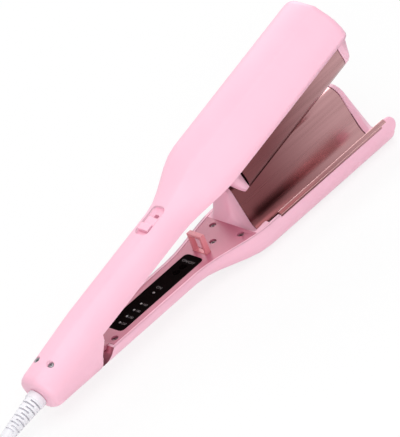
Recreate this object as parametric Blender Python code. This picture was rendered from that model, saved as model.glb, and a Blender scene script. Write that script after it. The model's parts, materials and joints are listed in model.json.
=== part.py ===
"""Deep-wave hair iron: two arms on one hinge, each with an S-shaped heated plate.

Each arm is drawn in its own frame: X runs from the hinge axis to the nose, Y across, Z up, and the
arm's outside faces -Z. The upper arm is drawn the same way up and then turned half a turn about X.
The arms stand open by OPEN_ANGLE. The lower arm rests on the flat strip under its head, and the
middle of that strip is the origin of the whole part.
"""
import math

import bmesh
import bpy
from mathutils import Matrix, Vector

MM = 0.001

# Clearances and walls
OPEN_ANGLE = math.radians(12.7)
WALL = 2.0 * MM
SEAT_GAP = 0.3 * MM
SHEET_SIDE_GAP = 0.45 * MM
CUT_OVERRUN = 3.0 * MM

# Places along the arms, each measured from the piece before it
PANEL_START = 44.0 * MM
PANEL_LENGTH = 74.0 * MM
LOOP_FROM_PANEL = 4.2 * MM
LOOP_X = PANEL_START + PANEL_LENGTH + LOOP_FROM_PANEL
LOWER_FLARE_BEFORE_LOOP = 16.7 * MM
UPPER_FLARE_BEFORE_LOOP = 12.7 * MM
RECESS_BEFORE_LOOP = 29.6 * MM
MIDDLE_SCREW_FROM_LOOP = 11.8 * MM
FRONT_SCREW_FROM_LOOP = 24.3 * MM
RAMP_FROM_LOOP = 29.3 * MM
PLATE_FROM_LOOP = 40.6 * MM
PLATE_START = LOOP_X + PLATE_FROM_LOOP
PLATE_LENGTH = 99.2 * MM

# Heads, which hold the plates
HEAD_HALF_WIDTH = 25.2 * MM
HEAD_DEPTH = 23.0 * MM
HEAD_RIM = 4.8 * MM
HEAD_CORNER_RADIUS = 12.0 * MM
HEAD_CORNER_STEPS = 12
REST_FAR_EDGE = 2.5 * MM
FAR_SLOPE_SHARES = ((0.11, 0.065), (0.27, 0.21), (0.44, 0.33), (0.62, 0.475), (0.86, 0.687),
                    (0.985, 0.87), (1.0, 1.0))

# Noses, the heads' closed front ends
UPPER_NOSE_LENGTH = 13.8 * MM
UPPER_NOSE_BOW = 4.5 * MM
LOWER_NOSE_LENGTH = 11.6 * MM
LOWER_NOSE_BOW = 2.0 * MM
NOSE_BOW_POWER = 4
NOSE_ROUND = 2.2 * MM
NOSE_ROUND_LENGTH = 4.0 * MM
NOSE_CREST_LENGTH = 3.6 * MM
NOSE_LEAN_SHARE = 0.03
NOSE_LIP_REACH = 6.0 * MM
NOSE_LIP_DROP = 1.0 * MM
NOSE_ROUND_SHARES = ((1.0, 0.0), (0.5, 0.12), (0.15, 0.45), (0.0, 1.0))
NOSE_SINK_SHARE = 0.35
NOSE_STEP = 0.3 * MM
NOSE_RECESS = 0.5 * MM

# Handles
HANDLE_HALF_WIDTH = 15.0 * MM
LOWER_RIM = 4.0 * MM
LOWER_DEPTH = 12.4 * MM
LOWER_FLARE_START = LOOP_X - LOWER_FLARE_BEFORE_LOOP
LOWER_FLARE_LENGTH = 54.5 * MM
LOWER_FLARE_END = LOWER_FLARE_START + LOWER_FLARE_LENGTH
REST_FROM_PLATE = 10.2 * MM
REST_START = PLATE_START + REST_FROM_PLATE
LOWER_REAR = 30.0 * MM
LOWER_REAR_SLOPE_SHARE = 0.85
UPPER_RIM = 2.9 * MM
UPPER_DEPTH = 14.9 * MM
UPPER_FLARE_START = LOOP_X - UPPER_FLARE_BEFORE_LOOP
UPPER_FLARE_LENGTH = 46.5 * MM
UPPER_FLARE_END = UPPER_FLARE_START + UPPER_FLARE_LENGTH
FLARE_STEPS = 6

# Tail block, which is the rear end of the upper arm
TAIL_LENGTH = 24.0 * MM
TAIL_DROP = 17.2 * MM
TAIL_MOUTH = 27.5 * MM
MOUTH_RUN = 13.5 * MM
MOUTH_REACH = 28.0 * MM
MOUTH_SHARES = ((0.0, 0.0), (0.10, 0.13), (0.36, 0.25), (0.60, 0.37), (0.78, 0.55), (0.91, 0.80), (1.0, 1.0))
TAIL_ROUND = 3.5 * MM
TAIL_ROUND_LENGTH = 5.0 * MM
TAIL_ROUND_SHARES = ((0.0, 1.0), (0.15, 0.5), (0.5, 0.13), (1.0, 0.0))
TAIL_WIDE_PLACE = 5.0 * MM
TAPER_START = 26.0 * MM
TAPER_BACK_SHARE = 0.22
TAPER_SIDE_SHARE = 0.15
MOUTH_STEP = 2.0 * MM

# Wave of the plates
WAVE_CENTRE_Y = 12.3 * MM
WAVE_CENTRE_Z = 7.0 * MM
WAVE_RADIUS = 9.7 * MM
WAVE_STEPS = 8
PLATE_GAP = 0.8 * MM
FLANK_LEAN = math.radians(5.0)
PLATE_THICKNESS = 1.2 * MM
PLATE_TUCK = 1.2 * MM
LIP_FROM_PLATE = 8.2 * MM
LIP_START = PLATE_START + LIP_FROM_PLATE
LIP_RISE = 1.7 * MM
LIP_EDGE = 1.2 * MM
LIP_FOLD = 0.4 * MM
LIP_SEAT_DEPTH = 7.2 * MM
LIP_SEAT_WIDTH = 5.0 * MM
NOTCH_WIDTH = 3.9 * MM
FAR_NOTCH_WIDTH = 5.0 * MM

# Deck and liner, the sheets that close the arms' inner sides
SHEET_THICKNESS = 1.2 * MM
SHEET_RECESS = 0.2 * MM
SHEET_NEAR_STEP = 2.2 * MM
SHEET_FAR_STEP = 3.0 * MM
RAMP_START = LOOP_X + RAMP_FROM_LOOP
RAMP_LENGTH = 8.0 * MM
RAMP_SHARES = ((0.33, 0.28), (0.7, 0.74), (1.0, 1.0))
DECK_REAR = 32.6 * MM
LINER_REAR = 22.0 * MM

# Latch: the loop on the deck, and the slider on the upper arm
LOOP_DEPTH = 3.6 * MM
LOOP_HALF_WIDTH = 6.4 * MM
LOOP_BAR = 2.0 * MM
LOOP_FOOT_MARGIN = 1.6 * MM
LOOP_FOOT_THICKNESS = 2.0 * MM
LOOP_SLOT_MARGIN = 1.2 * MM
LATCH_TRAVEL = 6.0 * MM
TONGUE_THICKNESS = 1.3 * MM
TONGUE_HALF_WIDTH = 3.0 * MM
TONGUE_REST_GAP = 1.7 * MM
RECESS_START = LOOP_X - RECESS_BEFORE_LOOP
RECESS_LENGTH = 22.6 * MM
RECESS_HALF_WIDTH = 5.6 * MM
RECESS_DEPTH = 3.4 * MM
RECESS_CORNER = 3.5 * MM
PAD_THICKNESS = 2.2 * MM
PAD_MARGIN = 2.0 * MM
THUMB_FROM_RECESS = 3.6 * MM
THUMB_START = RECESS_START + THUMB_FROM_RECESS
THUMB_LENGTH = 11.0 * MM
THUMB_HALF_WIDTH = 4.4 * MM
THUMB_BASE = 1.2 * MM
THUMB_RIDGE = 2.8 * MM
THUMB_RIDGE_SHARE = 0.45
STEM_INSET = 2.8 * MM
STEM_LENGTH = 5.0 * MM
STEM_HALF_WIDTH = 1.5 * MM

# Control panel and what lies under it
PANEL_HALF_WIDTH = 7.8 * MM
PANEL_THICKNESS = 1.4 * MM
PANEL_PROUD = 0.15 * MM
PANEL_CORNER = 3.0 * MM
CORNER_STEPS = 3
BUTTON_RADIUS = 2.1 * MM
BUTTON_PROUD = 0.5 * MM
BUTTON_TRAVEL = 0.5 * MM
BUTTON_BEFORE_PANEL_END = 11.0 * MM
BUTTON_PITCH = 5.8 * MM
POWER_BUTTON_X = PANEL_START + PANEL_LENGTH - BUTTON_BEFORE_PANEL_END
TEMPERATURE_BUTTON_X = POWER_BUTTON_X - BUTTON_PITCH
WINDOW_RADIUS = 0.9 * MM
POWER_WINDOW_FROM_PANEL = 36.6 * MM
POWER_WINDOW_X = PANEL_START + POWER_WINDOW_FROM_PANEL
LEVEL_WINDOW_FROM_PANEL = 25.3 * MM
LEVEL_WINDOW_X = PANEL_START + LEVEL_WINDOW_FROM_PANEL
LEVEL_WINDOW_PITCH = 6.4 * MM
LEVEL_WINDOWS = 4
BOARD_THICKNESS = 1.2 * MM
BOARD_DROP = 3.4 * MM
BOARD_MARGIN = 1.2 * MM
SWITCH_HALF_WIDTH = 2.0 * MM
SWITCH_CLEARANCE = 0.2 * MM

# Hinge
PIN_RADIUS = 2.0 * MM
PIN_BITE = 1.0 * MM
BARREL_RADIUS = 4.3 * MM
BARREL_INNER = 4.5 * MM
BARREL_OUTER = 8.5 * MM
BUSH_RADIUS = 3.6 * MM
BUSH_END_GAP = 0.5 * MM
STRAP_REACH = 34.2 * MM
STRAP_UNDER = 1.0 * MM
STRAP_NOTCH = 0.6 * MM
SPRING_RADIUS = 3.0 * MM
SPRING_WIRE = 0.9 * MM
SPRING_TURNS = 5
SPRING_PITCH = 1.45 * MM
SPRING_POINTS_PER_TURN = 9

# Screws and the bosses that hold them
SCREW_HEAD_RADIUS = 2.1 * MM
SCREW_HEAD_HEIGHT = 1.4 * MM
SCREW_SHANK_RADIUS = 1.2 * MM
SCREW_SINK = 2.6 * MM
SCREW_LENGTH = 4.5 * MM
BOSS_RADIUS = 3.0 * MM
BOSS_HEIGHT = 4.0 * MM
FRONT_SCREW_X = LOOP_X + FRONT_SCREW_FROM_LOOP
FRONT_SCREW_Y = 12.6 * MM
MIDDLE_SCREW_X = LOOP_X + MIDDLE_SCREW_FROM_LOOP
REAR_SCREW_X = 37.5 * MM
REAR_SCREW_Y = 8.0 * MM
TAIL_SCREW_X = -8.0 * MM
TAIL_SCREW_Y = 6.0 * MM
TAIL_SCREW_LENGTH = 7.0 * MM

# Heating parts
BRACKET_THICKNESS = 3.0 * MM
BRACKET_INSET = 9.0 * MM
HEATER_END_GAP = 6.6 * MM
HEATER_INSET = BRACKET_INSET + BRACKET_THICKNESS + HEATER_END_GAP
HEATER_START = PLATE_START + HEATER_INSET
HEATER_LENGTH = PLATE_LENGTH - 2 * HEATER_INSET
HEATER_HALF_WIDTH = 4.5 * MM
HEATER_HEIGHT = 6.0 * MM
BRACKET_SIDE_GAP = 1.0 * MM
SENSOR_RADIUS = 1.6 * MM
SENSOR_LENGTH = 9.0 * MM

# Cord boot and clamp
CORD_DIAMETER = 5.0 * MM
BOOT_COLLAR_RADIUS = 6.4 * MM
BOOT_COLLAR_LENGTH = 7.0 * MM
BOOT_LENGTH = 38.0 * MM
BOOT_END_RADIUS = 3.5 * MM
BOOT_END_LENGTH = 8.0 * MM
BOOT_RIBS = 9
BOOT_RIB_SHARE = 0.6
BOOT_GROOVE = 0.7 * MM
BOOT_NECK_RADIUS = 4.4 * MM
BOOT_FLANGE_RADIUS = 5.7 * MM
BOOT_FLANGE_LENGTH = 2.5 * MM
CLAMP_LENGTH = 13.6 * MM
CLAMP_HALF_WIDTH = 8.2 * MM
CLAMP_OUTSIDE = 8.5 * MM
CLAMP_INSIDE = 4.0 * MM
CORD_INNER_X = -8.0 * MM

# Cord, coil and plug
CORD_STRAIGHT = 5.0 * MM
CORD_SAG_POINTS = 10
CORD_FLOOR_POINTS = 3
COIL_DISTANCE = 127.5 * MM
COIL_OFFSET = 10.0 * MM
COIL_STRAIGHT = 30.0 * MM
COIL_MEAN_RADIUS = 21.4 * MM
COIL_TURNS = 4
COIL_PITCH = 5.7 * MM
COIL_LAYER = 5.5 * MM
COIL_POINTS_PER_TURN = 24
COIL_RISE_POINTS = 4
COIL_CURL_POINTS = 8
COIL_CURL_STEP = 2.5 * MM
COIL_LEAD = 6.0 * MM
PLUG_LENGTH = 30.0 * MM
PLUG_HALF_WIDTH = 11.0 * MM
PLUG_NECK_LENGTH = 11.0 * MM
PLUG_NECK_RADIUS = 3.6 * MM
PLUG_NECK_END_RADIUS = 5.0 * MM
PLUG_HALF_HEIGHT = 6.0 * MM
PLUG_CORNER = 2.5 * MM
BLADE_LENGTH = 16.0 * MM
BLADE_BITE = 4.0 * MM
BLADE_HALF_WIDTH = 3.15 * MM
BLADE_HALF_THICKNESS = 0.75 * MM
BLADE_HALF_SPACING = 6.35 * MM

# Places that follow from the sizes
PLATE_END = PLATE_START + PLATE_LENGTH
NOSE_START = PLATE_END + SEAT_GAP
REST_X = (REST_START + PLATE_END) / 2
REST_Y = (HEAD_CORNER_RADIUS - HEAD_HALF_WIDTH + REST_FAR_EDGE) / 2
HINGE_PLACE = Vector((-REST_X, -REST_Y, HEAD_DEPTH))
FLANK_ANGLE = (math.atan2(WAVE_CENTRE_Z, WAVE_CENTRE_Y)
               - math.acos(WAVE_RADIUS / math.hypot(WAVE_CENTRE_Y, WAVE_CENTRE_Z)))
UPPER_TURN = Matrix.Rotation(-OPEN_ANGLE, 4, "Y") @ Matrix.Rotation(math.pi, 4, "X")
SMOOTH_ANGLE = math.radians(35.0)

# Colour, roughness and metallic value of each finish
FINISHES = {
    "pink_plastic": ((0.93, 0.53, 0.64, 1.0), 0.42, 0.0),
    "deck_plastic": ((0.78, 0.36, 0.45, 1.0), 0.45, 0.0),
    "latch_plastic": ((0.86, 0.38, 0.42, 1.0), 0.45, 0.0),
    "rose_plate": ((0.72, 0.42, 0.38, 1.0), 0.28, 1.0),
    "gloss_black": ((0.01, 0.01, 0.01, 1.0), 0.12, 0.0),
    "button_black": ((0.03, 0.03, 0.03, 1.0), 0.35, 0.0),
    "lamp_window": ((0.85, 0.85, 0.82, 1.0), 0.2, 0.0),
    "white_rubber": ((0.86, 0.86, 0.88, 1.0), 0.5, 0.0),
    "steel": ((0.55, 0.55, 0.56, 1.0), 0.3, 1.0),
    "brass": ((0.75, 0.6, 0.32, 1.0), 0.3, 1.0),
    "heater_ceramic": ((0.8, 0.76, 0.68, 1.0), 0.6, 0.0),
    "heat_resin": ((0.06, 0.05, 0.05, 1.0), 0.6, 0.0),
    "circuit_green": ((0.02, 0.2, 0.08, 1.0), 0.5, 0.0),
}


class Arm:
    """The sizes in which the two arms differ."""

    def __init__(self, name, rim, depth, flare_start, flare_end, nose_length, nose_bow):
        self.name = name
        self.rim = rim
        self.depth = depth
        self.flare_start = flare_start
        self.flare_end = flare_end
        self.nose_length = nose_length
        self.nose_bow = nose_bow

    def flare(self, x):
        """Share of the way from the handle's section to the head's at x."""
        share = min(max((x - self.flare_start) / (self.flare_end - self.flare_start), 0), 1)
        return share * share * (3 - 2 * share)


LOWER = Arm("lower", LOWER_RIM, LOWER_DEPTH, LOWER_FLARE_START, LOWER_FLARE_END,
            LOWER_NOSE_LENGTH, LOWER_NOSE_BOW)
UPPER = Arm("upper", UPPER_RIM, UPPER_DEPTH, UPPER_FLARE_START, UPPER_FLARE_END,
            UPPER_NOSE_LENGTH, UPPER_NOSE_BOW)


# Outlines, as lists of (y, z)

def arc(centre, radius, start, end, steps):
    """Points on an arc, both ends included."""
    points = []
    for i in range(steps + 1):
        angle = start + (end - start) * i / steps
        points.append((centre[0] + radius * math.cos(angle), centre[1] + radius * math.sin(angle)))
    return points


def length_shares(points):
    """How far along an outline each of its points lies, from 0 to 1."""
    lengths = [0]
    for a, b in zip(points, points[1:]):
        lengths.append(lengths[-1] + math.dist(a, b))
    return [length / lengths[-1] for length in lengths]


def resample(points, count):
    """The same open outline with count points evenly spaced along it."""
    shares = length_shares(points)
    result = []
    j = 0
    for i in range(count):
        target = i / (count - 1)
        while j < len(points) - 2 and shares[j + 1] < target:
            j += 1
        part = (target - shares[j]) / (shares[j + 1] - shares[j])
        a, b = points[j], points[j + 1]
        result.append((a[0] + (b[0] - a[0]) * part, a[1] + (b[1] - a[1]) * part))
    return result


def blend(first, second, share):
    """Point by point mix of two outlines with the same number of points."""
    return [(a[0] + (b[0] - a[0]) * share, a[1] + (b[1] - a[1]) * share) for a, b in zip(first, second)]


def offset(points, distance):
    """An open outline moved to the left of its direction."""
    result = []
    for i, point in enumerate(points):
        before = points[max(i - 1, 0)]
        after = points[min(i + 1, len(points) - 1)]
        along = Vector((after[0] - before[0], after[1] - before[1])).normalized()
        result.append((point[0] - along.y * distance, point[1] + along.x * distance))
    return result


def head_outline():
    """Outside of a head, from the near rim round the bottom to the far rim."""
    corner = (HEAD_CORNER_RADIUS - HEAD_HALF_WIDTH, HEAD_CORNER_RADIUS - HEAD_DEPTH)
    points = [(-HEAD_HALF_WIDTH, -HEAD_RIM)]
    points += arc(corner, HEAD_CORNER_RADIUS, math.pi, 1.5 * math.pi, HEAD_CORNER_STEPS)
    points.append((REST_FAR_EDGE, -HEAD_DEPTH))
    for across, up in FAR_SLOPE_SHARES:
        y = REST_FAR_EDGE + across * (HEAD_HALF_WIDTH - REST_FAR_EDGE)
        points.append((y, up * (HEAD_DEPTH - HEAD_RIM) - HEAD_DEPTH))
    return points


OUTLINE_SHARES = length_shares(head_outline())
OUTLINE_COUNT = len(OUTLINE_SHARES)


def handle_outline(rim, depth, shrink=0):
    """Outside of a handle, half an ellipse under its rim, drawn in by shrink."""
    points = []
    for share in OUTLINE_SHARES:
        angle = math.pi * (1 + share)
        y = (HANDLE_HALF_WIDTH - shrink) * math.cos(angle)
        points.append((y, (depth - shrink) * math.sin(angle) - rim))
    return points


def arm_outline(arm, x):
    """Outside of an arm's section at x."""
    return blend(handle_outline(arm.rim, arm.depth), head_outline(), arm.flare(x))


def straight(first, last):
    """A straight outline with the common number of points."""
    return resample([first, last], OUTLINE_COUNT)


def wave_line(shift):
    """The wave from the near flank's top to the far flank's foot, shift above its middle surface."""
    valley = (-WAVE_CENTRE_Y, -WAVE_CENTRE_Z)
    crest = (WAVE_CENTRE_Y, WAVE_CENTRE_Z)
    low = arc(valley, WAVE_RADIUS - shift, math.pi + FLANK_LEAN, 2 * math.pi + FLANK_ANGLE, WAVE_STEPS)
    high = arc(crest, WAVE_RADIUS + shift, math.pi + FLANK_ANGLE, FLANK_LEAN, WAVE_STEPS)
    near_run = (-HEAD_RIM - low[0][1]) * math.tan(FLANK_LEAN)
    far_run = (high[-1][1] + HEAD_RIM) * math.tan(FLANK_LEAN)
    near_top = (low[0][0] - near_run, -HEAD_RIM)
    far_foot = (high[-1][0] + far_run, -HEAD_RIM)
    return [near_top] + low + high + [far_foot]


# Meshes

def finish_material(name):
    """The material of a finish, made once."""
    material = bpy.data.materials.get(name)
    if material is None:
        colour, roughness, metallic = FINISHES[name]
        material = bpy.data.materials.new(name)
        material.use_nodes = True
        shader = material.node_tree.nodes["Principled BSDF"]
        shader.inputs["Base Color"].default_value = colour
        shader.inputs["Roughness"].default_value = roughness
        shader.inputs["Metallic"].default_value = metallic
        material.diffuse_color = colour
    return material


def add_object(name, bm, finish, parent, place=(0, 0, 0)):
    """Turn a bmesh into a named object, with its faces out and its round sides smooth."""
    bmesh.ops.recalc_face_normals(bm, faces=bm.faces)
    mesh = bpy.data.meshes.new(name)
    bm.to_mesh(mesh)
    bm.free()
    mesh.materials.append(finish_material(finish))
    mesh.shade_smooth()
    mesh.set_sharp_from_angle(angle=SMOOTH_ANGLE)
    new_object = bpy.data.objects.new(name, mesh)
    bpy.context.collection.objects.link(new_object)
    new_object.parent = parent
    new_object.location = place
    return new_object


def add_cutter(name, bm, parent):
    """A hidden object for Boolean modifiers."""
    cutter = add_object(name, bm, "steel", parent)
    cutter.hide_render = True
    cutter.display_type = "WIRE"
    return cutter


def combine(target, other, operation):
    """Join another solid to an object or take it away, with a Boolean modifier."""
    modifier = target.modifiers.new(operation.lower(), "BOOLEAN")
    modifier.operation = operation
    modifier.solver = "EXACT"
    modifier.object = other


def cut(target, bm):
    """Take a bmesh away from an object."""
    name = "%s_cut_%d" % (target.name, len(target.modifiers))
    combine(target, add_cutter(name, bm, target.parent), "DIFFERENCE")


def join(target, bm):
    """Join a bmesh to an object."""
    name = "%s_join_%d" % (target.name, len(target.modifiers))
    combine(target, add_cutter(name, bm, target.parent), "UNION")


def loft(rings, one_end_face=False):
    """A bmesh of triangles through rings of points. The last ring may be closed by one face."""
    bm = bmesh.new()
    loops = [[bm.verts.new(point) for point in ring] for ring in rings]
    count = len(rings[0])
    for a, b in zip(loops, loops[1:]):
        for i in range(count):
            j = (i + 1) % count
            bm.faces.new((a[i], a[j], b[j], b[i]))
    close_ring(bm, loops[0])
    if one_end_face:
        bm.faces.new(loops[-1])
    else:
        close_ring(bm, loops[-1])
    bmesh.ops.triangulate(bm, faces=bm.faces)
    return bm


def close_ring(bm, loop):
    """Faces across a ring, between its outline and its lid."""
    outline = loop[:OUTLINE_COUNT]
    lid = list(reversed(loop[OUTLINE_COUNT:]))
    if len(lid) < OUTLINE_COUNT:
        lid = [outline[0]] + lid + [outline[-1]]
    for i in range(OUTLINE_COUNT - 1):
        corners = []
        for vert in (outline[i], outline[i + 1], lid[i + 1], lid[i]):
            if vert not in corners:
                corners.append(vert)
        bm.faces.new(corners)


def box(low, high):
    """A bmesh box between two corners."""
    bm = bmesh.new()
    centre = (Vector(low) + Vector(high)) / 2
    size = Matrix.Diagonal(Vector(high) - Vector(low)).to_4x4()
    bmesh.ops.create_cube(bm, size=1, matrix=Matrix.Translation(centre) @ size)
    return bm


def rounded_box(low, high, corner):
    """A box whose four edges along Z are rounded."""
    bm = box(low, high)
    upright = [e for e in bm.edges if abs(e.verts[0].co.z - e.verts[1].co.z) > corner / 100]
    bmesh.ops.bevel(bm, geom=upright, offset=corner, segments=CORNER_STEPS, profile=0.5, affect="EDGES")
    return bm


def cylinder(start, end, radius, sides=16):
    """A bmesh cylinder between two points."""
    bm = bmesh.new()
    start, end = Vector(start), Vector(end)
    axis = end - start
    turn = axis.to_track_quat("Z", "Y").to_matrix().to_4x4()
    bmesh.ops.create_cone(bm, cap_ends=True, segments=sides, radius1=radius, radius2=radius,
                          depth=axis.length, matrix=Matrix.Translation((start + end) / 2) @ turn)
    return bm


def turned(profile, turn, sides=16, ring=False):
    """A solid of revolution from (height, radius) points, or a ring where the profile closes."""
    bm = bmesh.new()
    loops = []
    for height, radius in profile:
        loop = []
        for i in range(sides):
            angle = 2 * math.pi * i / sides
            point = Vector((radius * math.cos(angle), radius * math.sin(angle), height))
            loop.append(bm.verts.new(turn @ point))
        loops.append(loop)
    pairs = list(zip(loops, loops[1:]))
    if ring:
        pairs.append((loops[-1], loops[0]))
    for a, b in pairs:
        for i in range(sides):
            j = (i + 1) % sides
            bm.faces.new((a[i], a[j], b[j], b[i]))
    if not ring:
        bm.faces.new(loops[0])
        bm.faces.new(loops[-1])
    return bm


def extruded(points, vector):
    """A closed outline of (x, y, z) points moved along a vector."""
    bm = bmesh.new()
    face = bm.faces.new([bm.verts.new(point) for point in points])
    moved = bmesh.ops.extrude_face_region(bm, geom=[face])
    verts = [item for item in moved["geom"] if isinstance(item, bmesh.types.BMVert)]
    bmesh.ops.translate(bm, verts=verts, vec=vector)
    return bm


def tube(name, points, diameter, resolution, finish, parent):
    """A round tube along points, with filled ends."""
    curve = bpy.data.curves.new(name, "CURVE")
    curve.dimensions = "3D"
    curve.bevel_depth = diameter / 2
    curve.bevel_resolution = resolution
    curve.use_fill_caps = True
    spline = curve.splines.new("POLY")
    spline.points.add(len(points) - 1)
    for item, place in zip(spline.points, points):
        item.co = (*place, 1)
    curve.materials.append(finish_material(finish))
    new_object = bpy.data.objects.new(name, curve)
    bpy.context.collection.objects.link(new_object)
    new_object.parent = parent
    return new_object


def arm_empty(name, turn):
    """An empty on the hinge axis that carries one arm's pieces."""
    empty = bpy.data.objects.new(name, None)
    bpy.context.collection.objects.link(empty)
    empty.matrix_world = Matrix.Translation(HINGE_PLACE) @ turn
    return empty


def along_x(place=(0, 0, 0)):
    """A turn that lays a solid of revolution's axis along X."""
    return Matrix.Translation(place) @ Matrix.Rotation(math.pi / 2, 4, "Y")


def along_y(place=(0, 0, 0)):
    """A turn that lays a solid of revolution's axis along Y."""
    return Matrix.Translation(place) @ Matrix.Rotation(-math.pi / 2, 4, "X")


# Casings

def at_x(outline, x):
    """An outline placed at one x."""
    return [(x, y, z) for y, z in outline]


def open_ring(x, outline, lid):
    """A section whose lid shares the outline's two ends."""
    return at_x(outline, x) + at_x(reversed(lid[1:-1]), x)


def slanted(ring, level, share):
    """A section leaned over, so that it lies further back the lower it is."""
    return [(x - share * (level - z), y, z) for x, y, z in ring]


def body_stations(arm, first):
    """Where an arm's sections stand, close together only in the flare."""
    stations = [first]
    for i in range(FLARE_STEPS + 1):
        stations.append(arm.flare_start + (arm.flare_end - arm.flare_start) * i / FLARE_STEPS)
    return stations


def solid_ring(arm, x):
    """An arm's section at x, closed by a straight line between its rims."""
    outline = arm_outline(arm, x)
    return open_ring(x, outline, straight(outline[0], outline[-1]))


def hollow_ring(arm, x):
    """The hollow's section at x: a wall in from the outside, and open past the rims."""
    inside = offset(arm_outline(arm, x), WALL)
    inside[0] = (inside[0][0], inside[0][1] + CUT_OVERRUN)
    inside[-1] = (inside[-1][0], inside[0][1])
    return open_ring(x, inside, straight(inside[0], inside[-1]))


def nose_rings(arm):
    """The nose: an end wall that follows the wave above and the head's outside below."""
    outside = arm_outline(arm, NOSE_START)
    wave = [outside[0]] + wave_line(-PLATE_GAP / 2) + [outside[-1]]
    inset = offset(outside, NOSE_ROUND)
    rings = [open_ring(NOSE_START + NOSE_STEP, outside, wave)]
    for back, inward in NOSE_ROUND_SHARES:
        step = back * NOSE_ROUND_LENGTH
        ring = []
        for y, z in blend(outside, inset, inward):
            bow = arm.nose_bow * (y / HEAD_HALF_WIDTH) ** NOSE_BOW_POWER
            x = NOSE_START + arm.nose_length - bow - step
            ring.append((x, y, min(z, -HEAD_RIM - inward * NOSE_LIP_DROP)))
        for y, z in reversed(wave[1:-1]):
            lip = lip_share(y)
            lean = NOSE_LEAN_SHARE * (WAVE_CENTRE_Z + WAVE_RADIUS - z) + lip * NOSE_LIP_REACH
            x = NOSE_START + NOSE_CREST_LENGTH + lean - step / 2
            sink = NOSE_ROUND * NOSE_SINK_SHARE + lip * NOSE_LIP_DROP
            ring.append((x, y, z - inward * sink))
        rings.append(ring)
    return rings


def lip_share(y):
    """How much of the rims' longer nose a place across the wave takes."""
    return (y / HEAD_HALF_WIDTH) ** 8


def cut_lip_seat(casing):
    """Lower the near rim and thin its wall where the plate's folded edge sits on it."""
    reach = -min(y for y, z in wave_line(-PLATE_GAP / 2 - PLATE_THICKNESS)) + SEAT_GAP
    start = LIP_START - SEAT_GAP
    end = NOSE_START + NOSE_RECESS
    inner = LIP_SEAT_WIDTH - HEAD_HALF_WIDTH
    cut(casing, box((start, -HEAD_HALF_WIDTH - CUT_OVERRUN, -HEAD_RIM - LIP_EDGE - SEAT_GAP),
                    (end, inner, CUT_OVERRUN)))
    cut(casing, box((start, -reach, -HEAD_RIM - LIP_SEAT_DEPTH), (end, inner, CUT_OVERRUN)))


def rear_wall_ring(arm, x):
    """The slanted hollow section just inside the lower casing's rear wall."""
    return slanted(hollow_ring(arm, x), -arm.rim, LOWER_REAR_SLOPE_SHARE)


def build_lower_casing(parent):
    """The lower arm's outer shell, from its slanted rear wall to its nose."""
    stations = body_stations(LOWER, LOWER_REAR)
    rings = [slanted(solid_ring(LOWER, stations[0]), -LOWER_RIM, LOWER_REAR_SLOPE_SHARE)]
    rings += [solid_ring(LOWER, x) for x in stations[1:] + [NOSE_START]]
    shell = loft(rings + nose_rings(LOWER), one_end_face=True)
    casing = add_object("lower_casing", shell, "pink_plastic", parent)
    hollow = [rear_wall_ring(LOWER, LOWER_REAR + WALL)]
    hollow += [hollow_ring(LOWER, x) for x in stations[1:] + [NOSE_START + NOSE_RECESS]]
    cavity = add_cutter("lower_cavity", loft(hollow), parent)
    for x, y in deck_screw_places():
        top = sheet_level(LOWER, x) - BOSS_HEIGHT - SEAT_GAP
        cut(cavity, cylinder((x, y, -HEAD_DEPTH), (x, y, top), BOSS_RADIUS))
    combine(casing, cavity, "DIFFERENCE")
    for x, y in deck_screw_places():
        cut(casing, screw_bore(LOWER, x, y))
    cut_lip_seat(casing)
    notch_bottom = strap_bottom() - STRAP_NOTCH
    cut(casing, box((0, -BARREL_OUTER - SEAT_GAP, notch_bottom),
                    (LOWER_REAR + WALL + SEAT_GAP, BARREL_OUTER + SEAT_GAP, CUT_OVERRUN)))
    return casing


def taper(x):
    """How far the tail's back has been drawn in at x, from 0 to 1."""
    return min(max((TAPER_START - x) / (TAPER_START + TAIL_LENGTH), 0), 1)


def tail_back(x, shrink):
    """The tail's back at x, drawn in by shrink and by the taper."""
    points = []
    half = HANDLE_HALF_WIDTH - shrink
    depth = (UPPER_DEPTH - shrink) * (1 - TAPER_BACK_SHARE * taper(x))
    for share in OUTLINE_SHARES:
        angle = math.pi * (1 + share)
        side = 1 + TAPER_SIDE_SHARE * taper(x) * math.sin(angle)
        points.append((half * side * math.cos(angle), depth * math.sin(angle) - UPPER_RIM))
    return points


def tail_ring(x, shrink):
    """A section of the tail block, drawn in by shrink."""
    outline = tail_back(x, shrink)
    half = HANDLE_HALF_WIDTH - shrink
    level = shrink / 2 - UPPER_RIM
    outline[0] = (-half, level)
    outline[-1] = (half, level)
    drop = TAIL_DROP + x * math.tan(OPEN_ANGLE) - shrink
    depth = LOWER_DEPTH - shrink
    floor = [outline[0]]
    for y, z in arc((0, 0), 1, math.pi, 0, 2 * WAVE_STEPS):
        floor.append((y * half, drop - depth + z * depth))
    floor.append(outline[-1])
    return open_ring(x, outline, resample(floor, OUTLINE_COUNT))


def tail_end_rings(inward):
    """The tail block's rounded end, inward from its outside."""
    rings = []
    for along, inset in TAIL_ROUND_SHARES:
        x = along * TAIL_ROUND_LENGTH - TAIL_LENGTH + inward
        rings.append(tail_ring(x, inset * TAIL_ROUND + inward))
    return rings


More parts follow.
